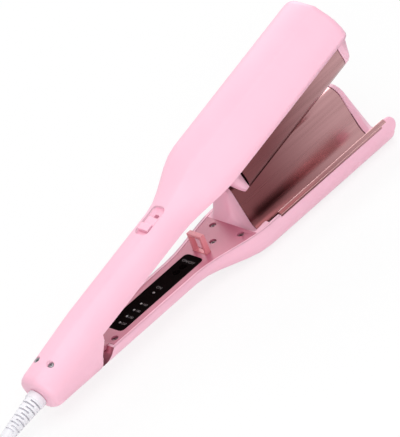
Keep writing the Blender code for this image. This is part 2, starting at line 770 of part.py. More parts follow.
def build_upper_casing(parent):
    """The upper arm's outer shell: tail block, handle, head and nose in one."""
    stations = body_stations(UPPER, TAIL_MOUTH + MOUTH_STEP)
    rings = tail_end_rings(0)
    rings.append(tail_ring(TAIL_WIDE_PLACE, 0))
    rings.append(tail_ring(TAIL_MOUTH + MOUTH_STEP / 2, 0))
    rings += [solid_ring(UPPER, x) for x in stations + [NOSE_START]]
    shell = loft(rings + nose_rings(UPPER), one_end_face=True)
    casing = add_object("upper_casing", shell, "pink_plastic", parent)
    hollow = tail_end_rings(WALL)
    hollow.append(tail_ring(TAIL_WIDE_PLACE, WALL))
    hollow.append(tail_ring(TAIL_MOUTH + MOUTH_STEP + CUT_OVERRUN, WALL))
    stations[0] += 2 * CUT_OVERRUN
    hollow += [hollow_ring(UPPER, x) for x in stations + [NOSE_START + NOSE_RECESS]]
    cavity = add_cutter("upper_cavity", loft(hollow), parent)
    leave_upper_bosses(cavity)
    combine(casing, cavity, "DIFFERENCE")
    cut_mouth(casing)
    cut(casing, cylinder((-TAIL_LENGTH - CUT_OVERRUN, 0, 0), (CUT_OVERRUN - TAIL_LENGTH, 0, 0),
                         BOOT_NECK_RADIUS + SEAT_GAP))
    reach = HANDLE_HALF_WIDTH - WALL + PIN_BITE + SEAT_GAP
    cut(casing, cylinder((0, -reach, 0), (0, reach, 0), PIN_RADIUS + SEAT_GAP))
    cut_latch_recess(casing)
    cut_tail_screw_seats(casing)
    for x, y in liner_screw_places():
        cut(casing, screw_bore(UPPER, x, y))
    cut_lip_seat(casing)
    return casing


def cut_mouth(casing):
    """Curve the tail block's mouth back, round the lower arm's rear end."""
    outside = HANDLE_HALF_WIDTH + CUT_OVERRUN
    front = TAIL_MOUTH + MOUTH_STEP + CUT_OVERRUN
    profile = [(TAIL_MOUTH - back * MOUTH_RUN, down * MOUTH_REACH - UPPER_RIM)
               for back, down in MOUTH_SHARES]
    profile += [(front, MOUTH_REACH - UPPER_RIM), (front, -UPPER_RIM)]
    cut(casing, extruded([(x, -outside, z) for x, z in profile], (0, 2 * outside, 0)))


def leave_upper_bosses(cavity):
    """Keep the cavity clear of the recess's pad, the tail's bosses and the liner's posts."""
    floor = recess_level()
    cut(cavity, box((RECESS_START - PAD_MARGIN, -RECESS_HALF_WIDTH - PAD_MARGIN, -HEAD_DEPTH),
                    (RECESS_START + RECESS_LENGTH + PAD_MARGIN, RECESS_HALF_WIDTH + PAD_MARGIN,
                     floor + PAD_THICKNESS)))
    for side in (-1, 1):
        y = side * TAIL_SCREW_Y
        cut(cavity, cylinder((TAIL_SCREW_X, y, -HEAD_DEPTH), (TAIL_SCREW_X, y, -CLAMP_OUTSIDE - SEAT_GAP),
                             BOSS_RADIUS))
    for x, y in liner_screw_places():
        top = sheet_level(UPPER, x) - BOSS_HEIGHT - SEAT_GAP
        cut(cavity, cylinder((x, y, -HEAD_DEPTH), (x, y, top), BOSS_RADIUS))


def recess_level():
    """Height of the thumb recess's floor."""
    return RECESS_DEPTH - UPPER_RIM - UPPER_DEPTH


def stem_start():
    """Rear end of the latch slider's stem at rest."""
    return THUMB_START + STEM_INSET


def cut_latch_recess(casing):
    """The thumb recess in the handle's back, and the slot through which the latch's stem passes."""
    floor = recess_level()
    cut(casing, rounded_box((RECESS_START, -RECESS_HALF_WIDTH, floor - RECESS_DEPTH - CUT_OVERRUN),
                            (RECESS_START + RECESS_LENGTH, RECESS_HALF_WIDTH, floor), RECESS_CORNER))
    cut(casing, box((stem_start() - SEAT_GAP, -STEM_HALF_WIDTH - SEAT_GAP, floor - CUT_OVERRUN),
                    (stem_start() + STEM_LENGTH + LATCH_TRAVEL + SEAT_GAP, STEM_HALF_WIDTH + SEAT_GAP,
                     floor + PAD_THICKNESS + CUT_OVERRUN)))


def tail_seat_level():
    """Height of the tail screws' seats."""
    half = HANDLE_HALF_WIDTH * (1 - TAPER_SIDE_SHARE * taper(TAIL_SCREW_X))
    depth = UPPER_DEPTH * (1 - TAPER_BACK_SHARE * taper(TAIL_SCREW_X))
    return SCREW_SINK - UPPER_RIM - depth * math.sqrt(1 - (TAIL_SCREW_Y / half) ** 2)


def cut_tail_screw_seats(casing):
    """Sunk seats and bores for the two screws in the tail's back."""
    seat = tail_seat_level()
    for side in (-1, 1):
        y = side * TAIL_SCREW_Y
        cut(casing, cylinder((TAIL_SCREW_X, y, seat), (TAIL_SCREW_X, y, -HEAD_DEPTH),
                             SCREW_HEAD_RADIUS + SEAT_GAP))
        cut(casing, cylinder((TAIL_SCREW_X, y, seat - SCREW_SINK), (TAIL_SCREW_X, y, 0),
                             SCREW_SHANK_RADIUS + SEAT_GAP, sides=12))


# Deck and liner

def sheet_level(arm, x):
    """Height of a deck's or liner's face at x, along the flat."""
    return arm_outline(arm, x)[0][1] - SHEET_RECESS


def sheet_half_width(arm, x):
    """Half width of the sheet between the casing's walls at x."""
    return arm_outline(arm, x)[-1][0] - WALL - SHEET_SIDE_GAP


def clamped(outline, near, far):
    """An outline kept between two y values."""
    return [(max(min(y, far), near), z) for y, z in outline]


def sheet_wave(half):
    """The sheet's face where it stands against the plate, narrower than the plate's wave."""
    side = sheet_half_width(LOWER, PLATE_START - SEAT_GAP) - SHEET_THICKNESS
    wave = clamped(wave_line(-PLATE_GAP / 2), SHEET_NEAR_STEP - side, side - SHEET_FAR_STEP)
    return [(-half, -HEAD_RIM)] + wave + [(half, -HEAD_RIM)]


def sheet_ring(arm, x, share):
    """A section of the deck or liner at x, share of the way from flat to wave."""
    half = sheet_half_width(arm, x)
    level = sheet_level(arm, x)
    top = blend(straight((-half, level), (half, level)), sheet_wave(half), share)
    under = clamped(offset(top, -SHEET_THICKNESS), -half, half)
    return at_x(under, x) + at_x(reversed(top), x)


def sheet_rings(arm, rear):
    """Sections of a deck or liner: flat along the handle, then a ramp onto the wave."""
    rings = [sheet_ring(arm, x, 0) for x in body_stations(arm, rear) if x < RAMP_START]
    rings.append(sheet_ring(arm, RAMP_START, 0))
    for along, share in RAMP_SHARES:
        rings.append(sheet_ring(arm, RAMP_START + along * RAMP_LENGTH, share))
    rings.append(sheet_ring(arm, PLATE_START - SEAT_GAP, 1))
    return rings


def liner_screw_places():
    """Screws that both arms' sheets have, as (x, y)."""
    return ((FRONT_SCREW_X, -FRONT_SCREW_Y), (FRONT_SCREW_X, FRONT_SCREW_Y))


def deck_screw_places():
    """All screws of the lower deck, as (x, y)."""
    return liner_screw_places() + ((MIDDLE_SCREW_X, 0), (REAR_SCREW_X, -REAR_SCREW_Y),
                                   (REAR_SCREW_X, REAR_SCREW_Y))


def screw_bore(arm, x, y):
    """The bore that one of the sheet's screws goes down."""
    top = sheet_level(arm, x)
    return cylinder((x, y, top + CUT_OVERRUN), (x, y, top - SCREW_SINK - SCREW_LENGTH),
                    SCREW_SHANK_RADIUS + SEAT_GAP, sides=12)


def add_screw_bosses(sheet, arm, places):
    """Bosses under a sheet, with a sunk seat and a bore for each screw."""
    for x, y in places:
        top = sheet_level(arm, x)
        join(sheet, cylinder((x, y, top - SHEET_THICKNESS / 2), (x, y, top - BOSS_HEIGHT), BOSS_RADIUS))
        cut(sheet, cylinder((x, y, top + CUT_OVERRUN), (x, y, top - SCREW_SINK),
                            SCREW_HEAD_RADIUS + SEAT_GAP))
        cut(sheet, screw_bore(arm, x, y))


def strap_bottom():
    """Height of the hinge straps' front end under the deck."""
    return -LOWER_RIM - SHEET_RECESS - SHEET_THICKNESS - STRAP_UNDER


def add_hinge_straps(deck):
    """Two straps that run from the deck back to barrels round the hinge pin."""
    top = sheet_level(LOWER, DECK_REAR)
    profile = ((0, BARREL_RADIUS), (DECK_REAR, top), (STRAP_REACH, top - SHEET_THICKNESS / 2),
               (STRAP_REACH, strap_bottom()), (0, -BARREL_RADIUS))
    length = BARREL_OUTER - BARREL_INNER
    for start in (-BARREL_OUTER, BARREL_INNER):
        join(deck, extruded([(x, start, z) for x, z in profile], (0, length, 0)))
        join(deck, cylinder((0, start, 0), (0, start + length, 0), BARREL_RADIUS))
    cut(deck, cylinder((0, -BARREL_OUTER - CUT_OVERRUN, 0), (0, BARREL_OUTER + CUT_OVERRUN, 0),
                       PIN_RADIUS + SEAT_GAP))


def build_lower_deck(parent):
    """The lower arm's inner face, with the panel's window, the loop's slot and the hinge barrels."""
    deck = add_object("lower_deck", loft(sheet_rings(LOWER, DECK_REAR)), "deck_plastic", parent)
    add_hinge_straps(deck)
    add_screw_bosses(deck, LOWER, deck_screw_places())
    low = -HEAD_RIM - SHEET_THICKNESS - CUT_OVERRUN
    cut(deck, rounded_box((PANEL_START - SEAT_GAP, -PANEL_HALF_WIDTH - SEAT_GAP, low),
                          (PANEL_START + PANEL_LENGTH + SEAT_GAP, PANEL_HALF_WIDTH + SEAT_GAP, 0),
                          PANEL_CORNER))
    cut(deck, box((LOOP_X - SEAT_GAP, -LOOP_HALF_WIDTH - SEAT_GAP, low),
                  (LOOP_X + LOOP_DEPTH + SEAT_GAP, LOOP_HALF_WIDTH + SEAT_GAP, 0)))
    return deck


def build_upper_liner(parent):
    """The upper arm's inner face, with a slot that the latch loop enters."""
    liner = add_object("upper_liner", loft(sheet_rings(UPPER, LINER_REAR)), "deck_plastic", parent)
    add_screw_bosses(liner, UPPER, liner_screw_places())
    margin = LOOP_SLOT_MARGIN
    low = -HEAD_RIM - SHEET_THICKNESS - CUT_OVERRUN
    cut(liner, box((LOOP_X - margin, -LOOP_HALF_WIDTH - margin, low),
                   (LOOP_X + LOOP_DEPTH + margin, LOOP_HALF_WIDTH + margin, 0)))
    return liner


# Screws

def screw(x, y, seat, length, inward):
    """A round-headed screw whose head stands on its seat, its shank going down (-1) or up (1)."""
    turn = Matrix.Translation((x, y, seat - inward * SEAT_GAP))
    profile = ((inward * length, SCREW_SHANK_RADIUS), (0, SCREW_SHANK_RADIUS), (0, SCREW_HEAD_RADIUS),
               (-inward * SCREW_HEAD_HEIGHT, SCREW_HEAD_RADIUS))
    return turned(profile, turn, sides=12)


def build_sheet_screws(name, arm, places, parent):
    """The screws of a deck or liner, numbered from 1."""
    for number, (x, y) in enumerate(places, 1):
        seat = sheet_level(arm, x) - SCREW_SINK
        add_object("%s_%d" % (name, number), screw(x, y, seat, SCREW_LENGTH, -1), "steel", parent)


def build_tail_screws(parent):
    """The two screws that pull the cord clamp against the tail's bosses."""
    for number, side in ((1, -1), (2, 1)):
        add_object("tail_screw_%d" % number,
                   screw(TAIL_SCREW_X, side * TAIL_SCREW_Y, tail_seat_level(), TAIL_SCREW_LENGTH, 1),
                   "steel", parent)


# Plates and heating parts

def plate_outline():
    """The plate's closed section: a folded near edge, the wave and a far edge tucked under the rim."""
    top = wave_line(-PLATE_GAP / 2)
    under = wave_line(-PLATE_GAP / 2 - PLATE_THICKNESS)
    fold = -HEAD_RIM + LIP_RISE
    lip_bottom = -HEAD_RIM - LIP_EDGE
    tuck = -HEAD_RIM - PLATE_TUCK
    points = [(-HEAD_HALF_WIDTH, lip_bottom), (-HEAD_HALF_WIDTH, -HEAD_RIM)]
    points += [(top[0][0] - LIP_FOLD, fold), (top[0][0], fold - LIP_FOLD)]
    points += top[1:] + [(top[-1][0], tuck), (under[-1][0], tuck)]
    points += reversed(under[1:])
    points.append((under[0][0], lip_bottom))
    return points


def build_heat_plate(name, parent):
    """One arm's heated plate. Behind the folded edge its sides stop short of the casing."""
    outline = [(PLATE_START, y, z) for y, z in plate_outline()]
    plate = add_object(name, extruded(outline, (PLATE_LENGTH, 0, 0)), "rose_plate", parent)
    start = PLATE_START - CUT_OVERRUN
    outside = HEAD_HALF_WIDTH + CUT_OVERRUN
    cut(plate, box((start, -outside, -HEAD_DEPTH), (LIP_START, NOTCH_WIDTH - HEAD_HALF_WIDTH, 0)))
    cut(plate, box((start, HEAD_HALF_WIDTH - FAR_NOTCH_WIDTH, -HEAD_DEPTH),
                   (LIP_START, outside, SEAT_GAP - HEAD_RIM)))
    return plate


def heater_top():
    """Height at which a heater's upper corners stand SEAT_GAP from the plate's crest."""
    inner = WAVE_RADIUS - PLATE_GAP / 2 - PLATE_THICKNESS - SEAT_GAP
    return WAVE_CENTRE_Z + math.sqrt(inner ** 2 - HEATER_HALF_WIDTH ** 2)


def build_heater(name, parent):
    """A ceramic heating block under the plate's crest."""
    top = heater_top()
    return add_object(name, box((HEATER_START, WAVE_CENTRE_Y - HEATER_HALF_WIDTH, top - HEATER_HEIGHT),
                                (HEATER_START + HEATER_LENGTH, WAVE_CENTRE_Y + HEATER_HALF_WIDTH, top)),
                      "heater_ceramic", parent)


def build_sensor(name, parent):
    """A small round device held against the heater's underside."""
    z = heater_top() - HEATER_HEIGHT - SEAT_GAP - SENSOR_RADIUS
    x = HEATER_START + HEATER_LENGTH / 2
    return add_object(name, cylinder((x, WAVE_CENTRE_Y, z), (x + SENSOR_LENGTH, WAVE_CENTRE_Y, z),
                                     SENSOR_RADIUS, sides=12), "steel", parent)


def bracket_outline():
    """Section of a rib between the casing's inside and the plate's underside."""
    over = wave_line(-PLATE_GAP / 2 - PLATE_THICKNESS - SEAT_GAP)
    inside = offset(head_outline(), WALL + SEAT_GAP)
    top = [(y, z) for y, z in over if abs(y) <= HEAD_HALF_WIDTH - LIP_SEAT_WIDTH + BRACKET_SIDE_GAP]
    top = [point for point in top if point[0] >= -WAVE_CENTRE_Y]
    bottom = [(y, z) for y, z in inside if -WAVE_CENTRE_Y <= y <= top[-1][0]]
    return top + list(reversed(bottom))


def build_plate_brackets(name, parent):
    """Two ribs that carry the plate in the casing."""
    for end, x in (("rear", PLATE_START + BRACKET_INSET),
                   ("front", PLATE_END - BRACKET_INSET - BRACKET_THICKNESS)):
        rib = extruded([(x, y, z) for y, z in bracket_outline()], (BRACKET_THICKNESS, 0, 0))
        add_object("%s_%s" % (name, end), rib, "heat_resin", parent)


# Latch

def tongue_level():
    """Height of the tongue's face towards the liner, clear of the liner's underside."""
    end = LOOP_X + LOOP_DEPTH + LOOP_SLOT_MARGIN
    return sheet_level(UPPER, end) - SHEET_THICKNESS - SEAT_GAP


def build_latch_loop(parent):
    """The loop that stands up from the deck, with a foot under the deck."""
    opening_top = SEAT_GAP + TONGUE_THICKNESS - tongue_level()
    level = sheet_level(LOWER, LOOP_X)
    foot_top = -HEAD_RIM - SHEET_RECESS - SHEET_THICKNESS - SEAT_GAP
    foot_bottom = foot_top - LOOP_FOOT_THICKNESS
    inner = LOOP_HALF_WIDTH - LOOP_BAR
    loop = add_object("latch_loop", box((LOOP_X, -LOOP_HALF_WIDTH, foot_bottom),
                                        (LOOP_X + LOOP_DEPTH, LOOP_HALF_WIDTH, opening_top + LOOP_BAR)),
                      "latch_plastic", parent)
    margin = LOOP_FOOT_MARGIN
    join(loop, box((LOOP_X - margin, -LOOP_HALF_WIDTH - margin, foot_bottom - margin),
                   (LOOP_X + LOOP_DEPTH + margin, LOOP_HALF_WIDTH + margin, foot_top)))
    cut(loop, box((LOOP_X - CUT_OVERRUN, -inner, level),
                  (LOOP_X + LOOP_DEPTH + CUT_OVERRUN, inner, opening_top)))
    return loop


def build_latch_slider(parent):
    """The slider: a stepped thumb piece, a stem through the casing and a tongue for the loop."""
    floor = recess_level() - SEAT_GAP
    tongue = tongue_level()
    slider = add_object("latch_slider", box((THUMB_START, -THUMB_HALF_WIDTH, floor - THUMB_BASE),
                                            (THUMB_START + THUMB_LENGTH, THUMB_HALF_WIDTH, floor)),
                        "pink_plastic", parent)
    join(slider, box((THUMB_START, -THUMB_HALF_WIDTH, floor - THUMB_RIDGE),
                     (THUMB_START + THUMB_RIDGE_SHARE * THUMB_LENGTH, THUMB_HALF_WIDTH, floor)))
    join(slider, box((stem_start(), -STEM_HALF_WIDTH, floor - THUMB_BASE / 2),
                     (stem_start() + STEM_LENGTH, STEM_HALF_WIDTH, tongue - TONGUE_THICKNESS / 2)))
    join(slider, box((stem_start() - STEM_HALF_WIDTH, -TONGUE_HALF_WIDTH, tongue - TONGUE_THICKNESS),
                     (LOOP_X - TONGUE_REST_GAP, TONGUE_HALF_WIDTH, tongue)))
    return slider


# Control panel

def panel_level():
    """Height of the panel's face."""
    return PANEL_PROUD - LOWER_RIM - SHEET_RECESS


def board_level():
    """Height of the circuit board's upper face."""
    return panel_level() - BOARD_DROP


def window_places():
    """Where the indicator windows stand along the panel."""
    return [POWER_WINDOW_X] + [LEVEL_WINDOW_X - i * LEVEL_WINDOW_PITCH for i in range(LEVEL_WINDOWS)]


def build_control_panel(parent):
    """The gloss panel, with holes for its two buttons and five indicator windows."""
    top = panel_level()
    low = top - PANEL_THICKNESS
    panel = add_object("control_panel",
                       rounded_box((PANEL_START, -PANEL_HALF_WIDTH, low),
                                   (PANEL_START + PANEL_LENGTH, PANEL_HALF_WIDTH, top), PANEL_CORNER),
                       "gloss_black", parent)
    for x in (POWER_BUTTON_X, TEMPERATURE_BUTTON_X):
        cut(panel, cylinder((x, 0, low - CUT_OVERRUN), (x, 0, top + CUT_OVERRUN), BUTTON_RADIUS + SEAT_GAP))
    for x in window_places():
        cut(panel, cylinder((x, 0, low - CUT_OVERRUN), (x, 0, top + CUT_OVERRUN), WINDOW_RADIUS + SEAT_GAP,
                            sides=10))
    return panel


def build_button(name, x, parent):
    """A round button with its origin in its face."""
    thickness = BUTTON_PROUD + PANEL_THICKNESS
    place = (x, 0, panel_level() + BUTTON_PROUD)
    return add_object(name, cylinder((0, 0, -thickness), (0, 0, 0), BUTTON_RADIUS), "button_black",
                      parent, place)


def build_indicator_lights(parent):
    """Five light pipes, from the panel's face down to the board."""
    for number, x in enumerate(window_places(), 1):
        pipe = cylinder((x, 0, board_level() + SEAT_GAP), (x, 0, panel_level()), WINDOW_RADIUS, sides=10)
        add_object("indicator_light_%d" % number, pipe, "lamp_window", parent)


def build_circuit_board(parent):
    """The board under the panel."""
    half = PANEL_HALF_WIDTH - BOARD_MARGIN
    top = board_level()
    return add_object("circuit_board", box((PANEL_START + BOARD_MARGIN, -half, top - BOARD_THICKNESS),
                                           (PANEL_START + PANEL_LENGTH - BOARD_MARGIN, half, top)),
                      "circuit_green", parent)


def build_tact_switches(parent):
    """A small switch on the board under each button."""
    low = board_level()
    high = panel_level() - PANEL_THICKNESS - BUTTON_TRAVEL - SWITCH_CLEARANCE
    half = SWITCH_HALF_WIDTH
    for name, x in (("power_switch", POWER_BUTTON_X), ("temperature_switch", TEMPERATURE_BUTTON_X)):
        add_object(name, box((x - half, -half, low + SEAT_GAP), (x + half, half, high)), "steel", parent)


# Hinge

def build_hinge_pin(parent):
    """The pin, its ends let into the tail's side walls."""
    reach = HANDLE_HALF_WIDTH - WALL + PIN_BITE
    return add_object("hinge_pin", cylinder((0, -reach, 0), (0, reach, 0), PIN_RADIUS), "steel", parent)


def build_hinge_bushes(parent):
    """Two bushes on the pin, between the barrels and the tail's walls."""
    inner = PIN_RADIUS + SEAT_GAP
    near = BARREL_OUTER + SEAT_GAP
    far = HANDLE_HALF_WIDTH - WALL - BUSH_END_GAP
    for number, side in ((1, -1), (2, 1)):
        profile = ((side * near, inner), (side * near, BUSH_RADIUS), (side * far, BUSH_RADIUS),
                   (side * far, inner))
        add_object("hinge_bush_%d" % number, turned(profile, along_y(), ring=True), "brass", parent)


def build_opening_spring(parent):
    """The wound spring round the pin, between the barrels."""
    points = []
    steps = SPRING_TURNS * SPRING_POINTS_PER_TURN
    for i in range(steps + 1):
        angle = 2 * math.pi * i / SPRING_POINTS_PER_TURN
        y = SPRING_PITCH * (i / SPRING_POINTS_PER_TURN - SPRING_TURNS / 2)
        points.append((SPRING_RADIUS * math.cos(angle), y, SPRING_RADIUS * math.sin(angle)))
    return tube("opening_spring", points, SPRING_WIRE, 1, "steel", parent)


# Cord

def boot_profile():
    """The boot's closed (x, radius) profile: flange, neck, collar, ribs and a bore."""
    wall_inside = WALL - TAIL_LENGTH + SEAT_GAP
    wall_outside = -TAIL_LENGTH - SEAT_GAP
    collar_end = wall_outside - BOOT_COLLAR_LENGTH
    end = -TAIL_LENGTH - BOOT_LENGTH
    bore = CORD_DIAMETER / 2 + SEAT_GAP
    profile = [(wall_inside + BOOT_FLANGE_LENGTH, BOOT_FLANGE_RADIUS), (wall_inside, BOOT_FLANGE_RADIUS),
               (wall_inside, BOOT_NECK_RADIUS), (wall_outside, BOOT_NECK_RADIUS),
               (wall_outside, BOOT_COLLAR_RADIUS), (collar_end, BOOT_COLLAR_RADIUS)]
    pitch = (end + BOOT_END_LENGTH - collar_end) / BOOT_RIBS
    for i in range(BOOT_RIBS):
        share = pitch * (i + 1) / (end - collar_end)
        radius = BOOT_COLLAR_RADIUS + (BOOT_END_RADIUS - BOOT_COLLAR_RADIUS) * share
        groove_end = collar_end + pitch * (i + 1 - BOOT_RIB_SHARE)
        profile += [(collar_end + pitch * i, radius - BOOT_GROOVE), (groove_end, radius - BOOT_GROOVE),
                    (groove_end, radius), (collar_end + pitch * (i + 1), radius)]
    profile += [(end, BOOT_END_RADIUS), (end, bore), (wall_inside + BOOT_FLANGE_LENGTH, bore)]
    return profile


def build_cord_boot(parent):
    """The ribbed boot that keeps the cord from kinking at the tail."""
    return add_object("cord_boot", turned(boot_profile(), along_x(), ring=True), "white_rubber", parent)


def build_cord_clamp(parent):
    """The block inside the tail that holds the cord."""
    start = WALL + SEAT_GAP + BOOT_FLANGE_LENGTH + SEAT_GAP - TAIL_LENGTH
    end = start + CLAMP_LENGTH
    clamp = add_object("cord_clamp", box((start, -CLAMP_HALF_WIDTH, -CLAMP_OUTSIDE),
                                         (end, CLAMP_HALF_WIDTH, CLAMP_INSIDE)), "heat_resin", parent)
    cut(clamp, cylinder((start - CUT_OVERRUN, 0, 0), (end + CUT_OVERRUN, 0, 0),
                        CORD_DIAMETER / 2 + SEAT_GAP))
    for side in (-1, 1):
        y = side * TAIL_SCREW_Y
        bottom = tail_seat_level() + TAIL_SCREW_LENGTH + SEAT_GAP
        cut(clamp, cylinder((TAIL_SCREW_X, y, -CLAMP_OUTSIDE - CUT_OVERRUN), (TAIL_SCREW_X, y, bottom),
                            SCREW_SHANK_RADIUS + SEAT_GAP, sides=12))
    return clamp


def smooth_step(share):
    """A share eased at both of its ends."""
    share = min(max(share, 0), 1)
    return share * share * (3 - 2 * share)


def cord_points():
    """The free cord: straight through the boot, then down onto the table and across to the coil."""
    out = Vector((-math.cos(OPEN_ANGLE), 0, -math.sin(OPEN_ANGLE)))
    straight_end = TAIL_LENGTH + BOOT_LENGTH + CORD_STRAIGHT
    points = [HINGE_PLACE - out * CORD_INNER_X, HINGE_PLACE + out * TAIL_LENGTH,
              HINGE_PLACE + out * (TAIL_LENGTH + BOOT_LENGTH / 2),
              HINGE_PLACE + out * (TAIL_LENGTH + BOOT_LENGTH)]
    start = HINGE_PLACE + out * straight_end
    drop = start.z - CORD_DIAMETER / 2
    sag = 2 * drop / math.tan(OPEN_ANGLE)
    end = coil_centre() + Vector((CORD_DIAMETER + SEAT_GAP, -coil_outer_radius(), 0))
    for i in range(CORD_SAG_POINTS + 1):
        share = i / CORD_SAG_POINTS
        points.append(Vector((start.x - sag * share, start.y, start.z - drop * (2 * share - share ** 2))))
    floor_x = points[-1].x
    for i in range(1, CORD_FLOOR_POINTS + 1):
        points.append(Vector((floor_x + (end.x - floor_x) * i / CORD_FLOOR_POINTS, start.y, end.z)))
    for point in points[-CORD_SAG_POINTS - CORD_FLOOR_POINTS:]:
        point.y += (end.y - start.y) * smooth_step((start.x - point.x) / (start.x - end.x))
    return points


def coil_outer_radius():
    """Radius of the coil's outermost turns."""
    return COIL_MEAN_RADIUS + COIL_PITCH * COIL_TURNS / 2


def coil_centre():
    """Middle of the coil's end that is nearer the boot, in line with the handset."""
    return Vector((HINGE_PLACE.x - COIL_DISTANCE, HINGE_PLACE.y + COIL_OFFSET, CORD_DIAMETER / 2))


def coil_shifts(i):
    """How far along X point i lies from a plain spiral: two shifts where a straight side runs."""
    place = i % COIL_POINTS_PER_TURN
    half = COIL_POINTS_PER_TURN // 2
    if place == 0:
        return (0, -COIL_STRAIGHT)
    if place == half:
        return (-COIL_STRAIGHT, 0)
    return (-COIL_STRAIGHT,) if place < half else (0,)


def coil_points():
    """Long turns in layers: inwards on the table, outwards on top, then over them to the plug."""
    centre = coil_centre()
    layer = COIL_TURNS * COIL_POINTS_PER_TURN
    back = layer - COIL_RISE_POINTS
    points = [centre + Vector((CORD_DIAMETER, -coil_outer_radius(), 0))]
    for i in range(2 * layer + COIL_RISE_POINTS + COIL_CURL_POINTS + 1):
        inward = min(i, layer)
        outward = min(max(i - layer - COIL_RISE_POINTS, 0), back)
        curl = max(i - 2 * layer - COIL_RISE_POINTS, 0)
        risen = smooth_step((i - layer) / COIL_RISE_POINTS) + smooth_step((i - 2 * layer) / COIL_RISE_POINTS)
        radius = coil_outer_radius() - COIL_PITCH * (inward - outward) / COIL_POINTS_PER_TURN
        radius -= COIL_CURL_STEP * curl
        angle = -math.pi / 2 - 2 * math.pi * i / COIL_POINTS_PER_TURN
        for shift in coil_shifts(i):
            spot = Vector((radius * math.cos(angle) + shift, radius * math.sin(angle), COIL_LAYER * risen))
            points.append(centre + spot)
    points.pop()
    heading = (points[-1] - points[-2]).normalized()
    rise = plug_height() - points[-1].z
    for lift in (rise / 2, rise / 2, 0):
        points.append(points[-1] + heading * COIL_LEAD + Vector((0, 0, lift)))
    return points


def plug_height():
    """Height of the plug's middle, which lies on the coil's two layers."""
    return CORD_DIAMETER + COIL_LAYER + SEAT_GAP + PLUG_HALF_HEIGHT


def least_gap(points):
    """Smallest gap between stretches of the coil that aren't neighbours along it."""
    least = math.inf
    skip = COIL_POINTS_PER_TURN // 2 + 1
    for i, point in enumerate(points):
        for j in range(i + skip, len(points) - 1):
            along = points[j + 1] - points[j]
            share = min(max((point - points[j]).dot(along) / along.length_squared, 0), 1)
            least = min(least, (point - points[j] - along * share).length)
    return least - CORD_DIAMETER


def build_cord_coil():
    """The stored length of the cord, wound in a long coil beside the boot's end."""
    points = coil_points()
    print("least gap in the coil: %.2f mm" % (least_gap(points) / MM))
    return tube("cord_coil", points, CORD_DIAMETER, 1, "white_rubber", None)


def plug_frame():
    """Place and heading of the plug, level at the coil's free end."""
    points = coil_points()
    heading = points[-1] - points[-2]
    heading.z = 0
    heading.normalize()
    turn = heading.to_track_quat("X", "Z").to_matrix().to_4x4()
    return Matrix.Translation(points[-1] + heading * SEAT_GAP) @ turn


def build_plug(parent_frame):
    """The moulded plug and its two blades."""
    low = (PLUG_NECK_LENGTH, -PLUG_HALF_WIDTH, -PLUG_HALF_HEIGHT)
    high = (PLUG_LENGTH, PLUG_HALF_WIDTH, PLUG_HALF_HEIGHT)
    plug = add_object("plug_body", rounded_box(low, high, PLUG_CORNER), "white_rubber", None)
    neck = ((0, PLUG_NECK_RADIUS), (PLUG_NECK_LENGTH + PLUG_CORNER, PLUG_NECK_END_RADIUS))
    join(plug, turned(neck, along_x()))
    pieces = [plug]
    for number, side in ((1, -1), (2, 1)):
        y = side * BLADE_HALF_SPACING
        low = Vector((PLUG_LENGTH - BLADE_BITE, y - BLADE_HALF_THICKNESS, -BLADE_HALF_WIDTH))
        high = Vector((PLUG_LENGTH + BLADE_LENGTH, y + BLADE_HALF_THICKNESS, BLADE_HALF_WIDTH))
        pieces.append(add_object("plug_blade_%d" % number, box(low, high), "brass", None))
        grow = Vector((SEAT_GAP, SEAT_GAP, SEAT_GAP))
        cut(plug, box(low - grow, high + grow))
    for piece in pieces + [modifier.object for modifier in plug.modifiers]:
        piece.matrix_world = parent_frame


def clear_scene():
    """Remove whatever the scene holds."""
    for item in list(bpy.data.objects):
        bpy.data.objects.remove(item, do_unlink=True)


def build_upper_arm(upper):
    """All pieces that the upper arm carries."""
    build_upper_casing(upper)
    build_upper_liner(upper)
    build_heat_plate("upper_heat_plate", upper)
    build_heater("upper_heater", upper)
    build_plate_brackets("upper_bracket", upper)
    build_sensor("temperature_sensor", upper)
    build_latch_slider(upper)
    build_sheet_screws("liner_screw", UPPER, liner_screw_places(), upper)
    build_tail_screws(upper)
    build_hinge_pin(upper)
    build_hinge_bushes(upper)
    build_opening_spring(upper)
    build_cord_boot(upper)
    build_cord_clamp(upper)


def build_lower_arm(lower):
    """All pieces that the lower arm carries."""
    build_lower_casing(lower)
    build_lower_deck(lower)
    build_heat_plate("lower_heat_plate", lower)
    build_heater("lower_heater", lower)
    build_plate_brackets("lower_bracket", lower)
    build_sensor("thermal_fuse", lower)
    build_latch_loop(lower)
    build_sheet_screws("deck_screw", LOWER, deck_screw_places(), lower)
    build_control_panel(lower)
    build_button("power_button", POWER_BUTTON_X, lower)
    build_button("temperature_button", TEMPERATURE_BUTTON_X, lower)
    build_indicator_lights(lower)
    build_circuit_board(lower)
    build_tact_switches(lower)


def build_cord_parts():
    """The cord, its coil and its plug, which lie on the table."""
    tube("cord", cord_points(), CORD_DIAMETER, 2, "white_rubber", None)
    build_cord_coil()
    build_plug(plug_frame())


clear_scene()
build_upper_arm(arm_empty("upper_arm", UPPER_TURN))
build_lower_arm(arm_empty("lower_arm", Matrix.Identity(4)))
build_cord_parts()
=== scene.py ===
"""A two-arm deep-wave hair iron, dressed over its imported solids.

The casings, plates, deck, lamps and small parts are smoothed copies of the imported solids. The boot,
cord, screw heads, button caps, panel print, near lip's trim and slider's shutter are modelled here.
Sizes are in metres unless a docstring says otherwise, in the same frame as the solids.
"""

import json
import logging
import math
from collections.abc import Callable
from dataclasses import dataclass
from enum import Enum

import bpy
from mathutils import Matrix, Vector

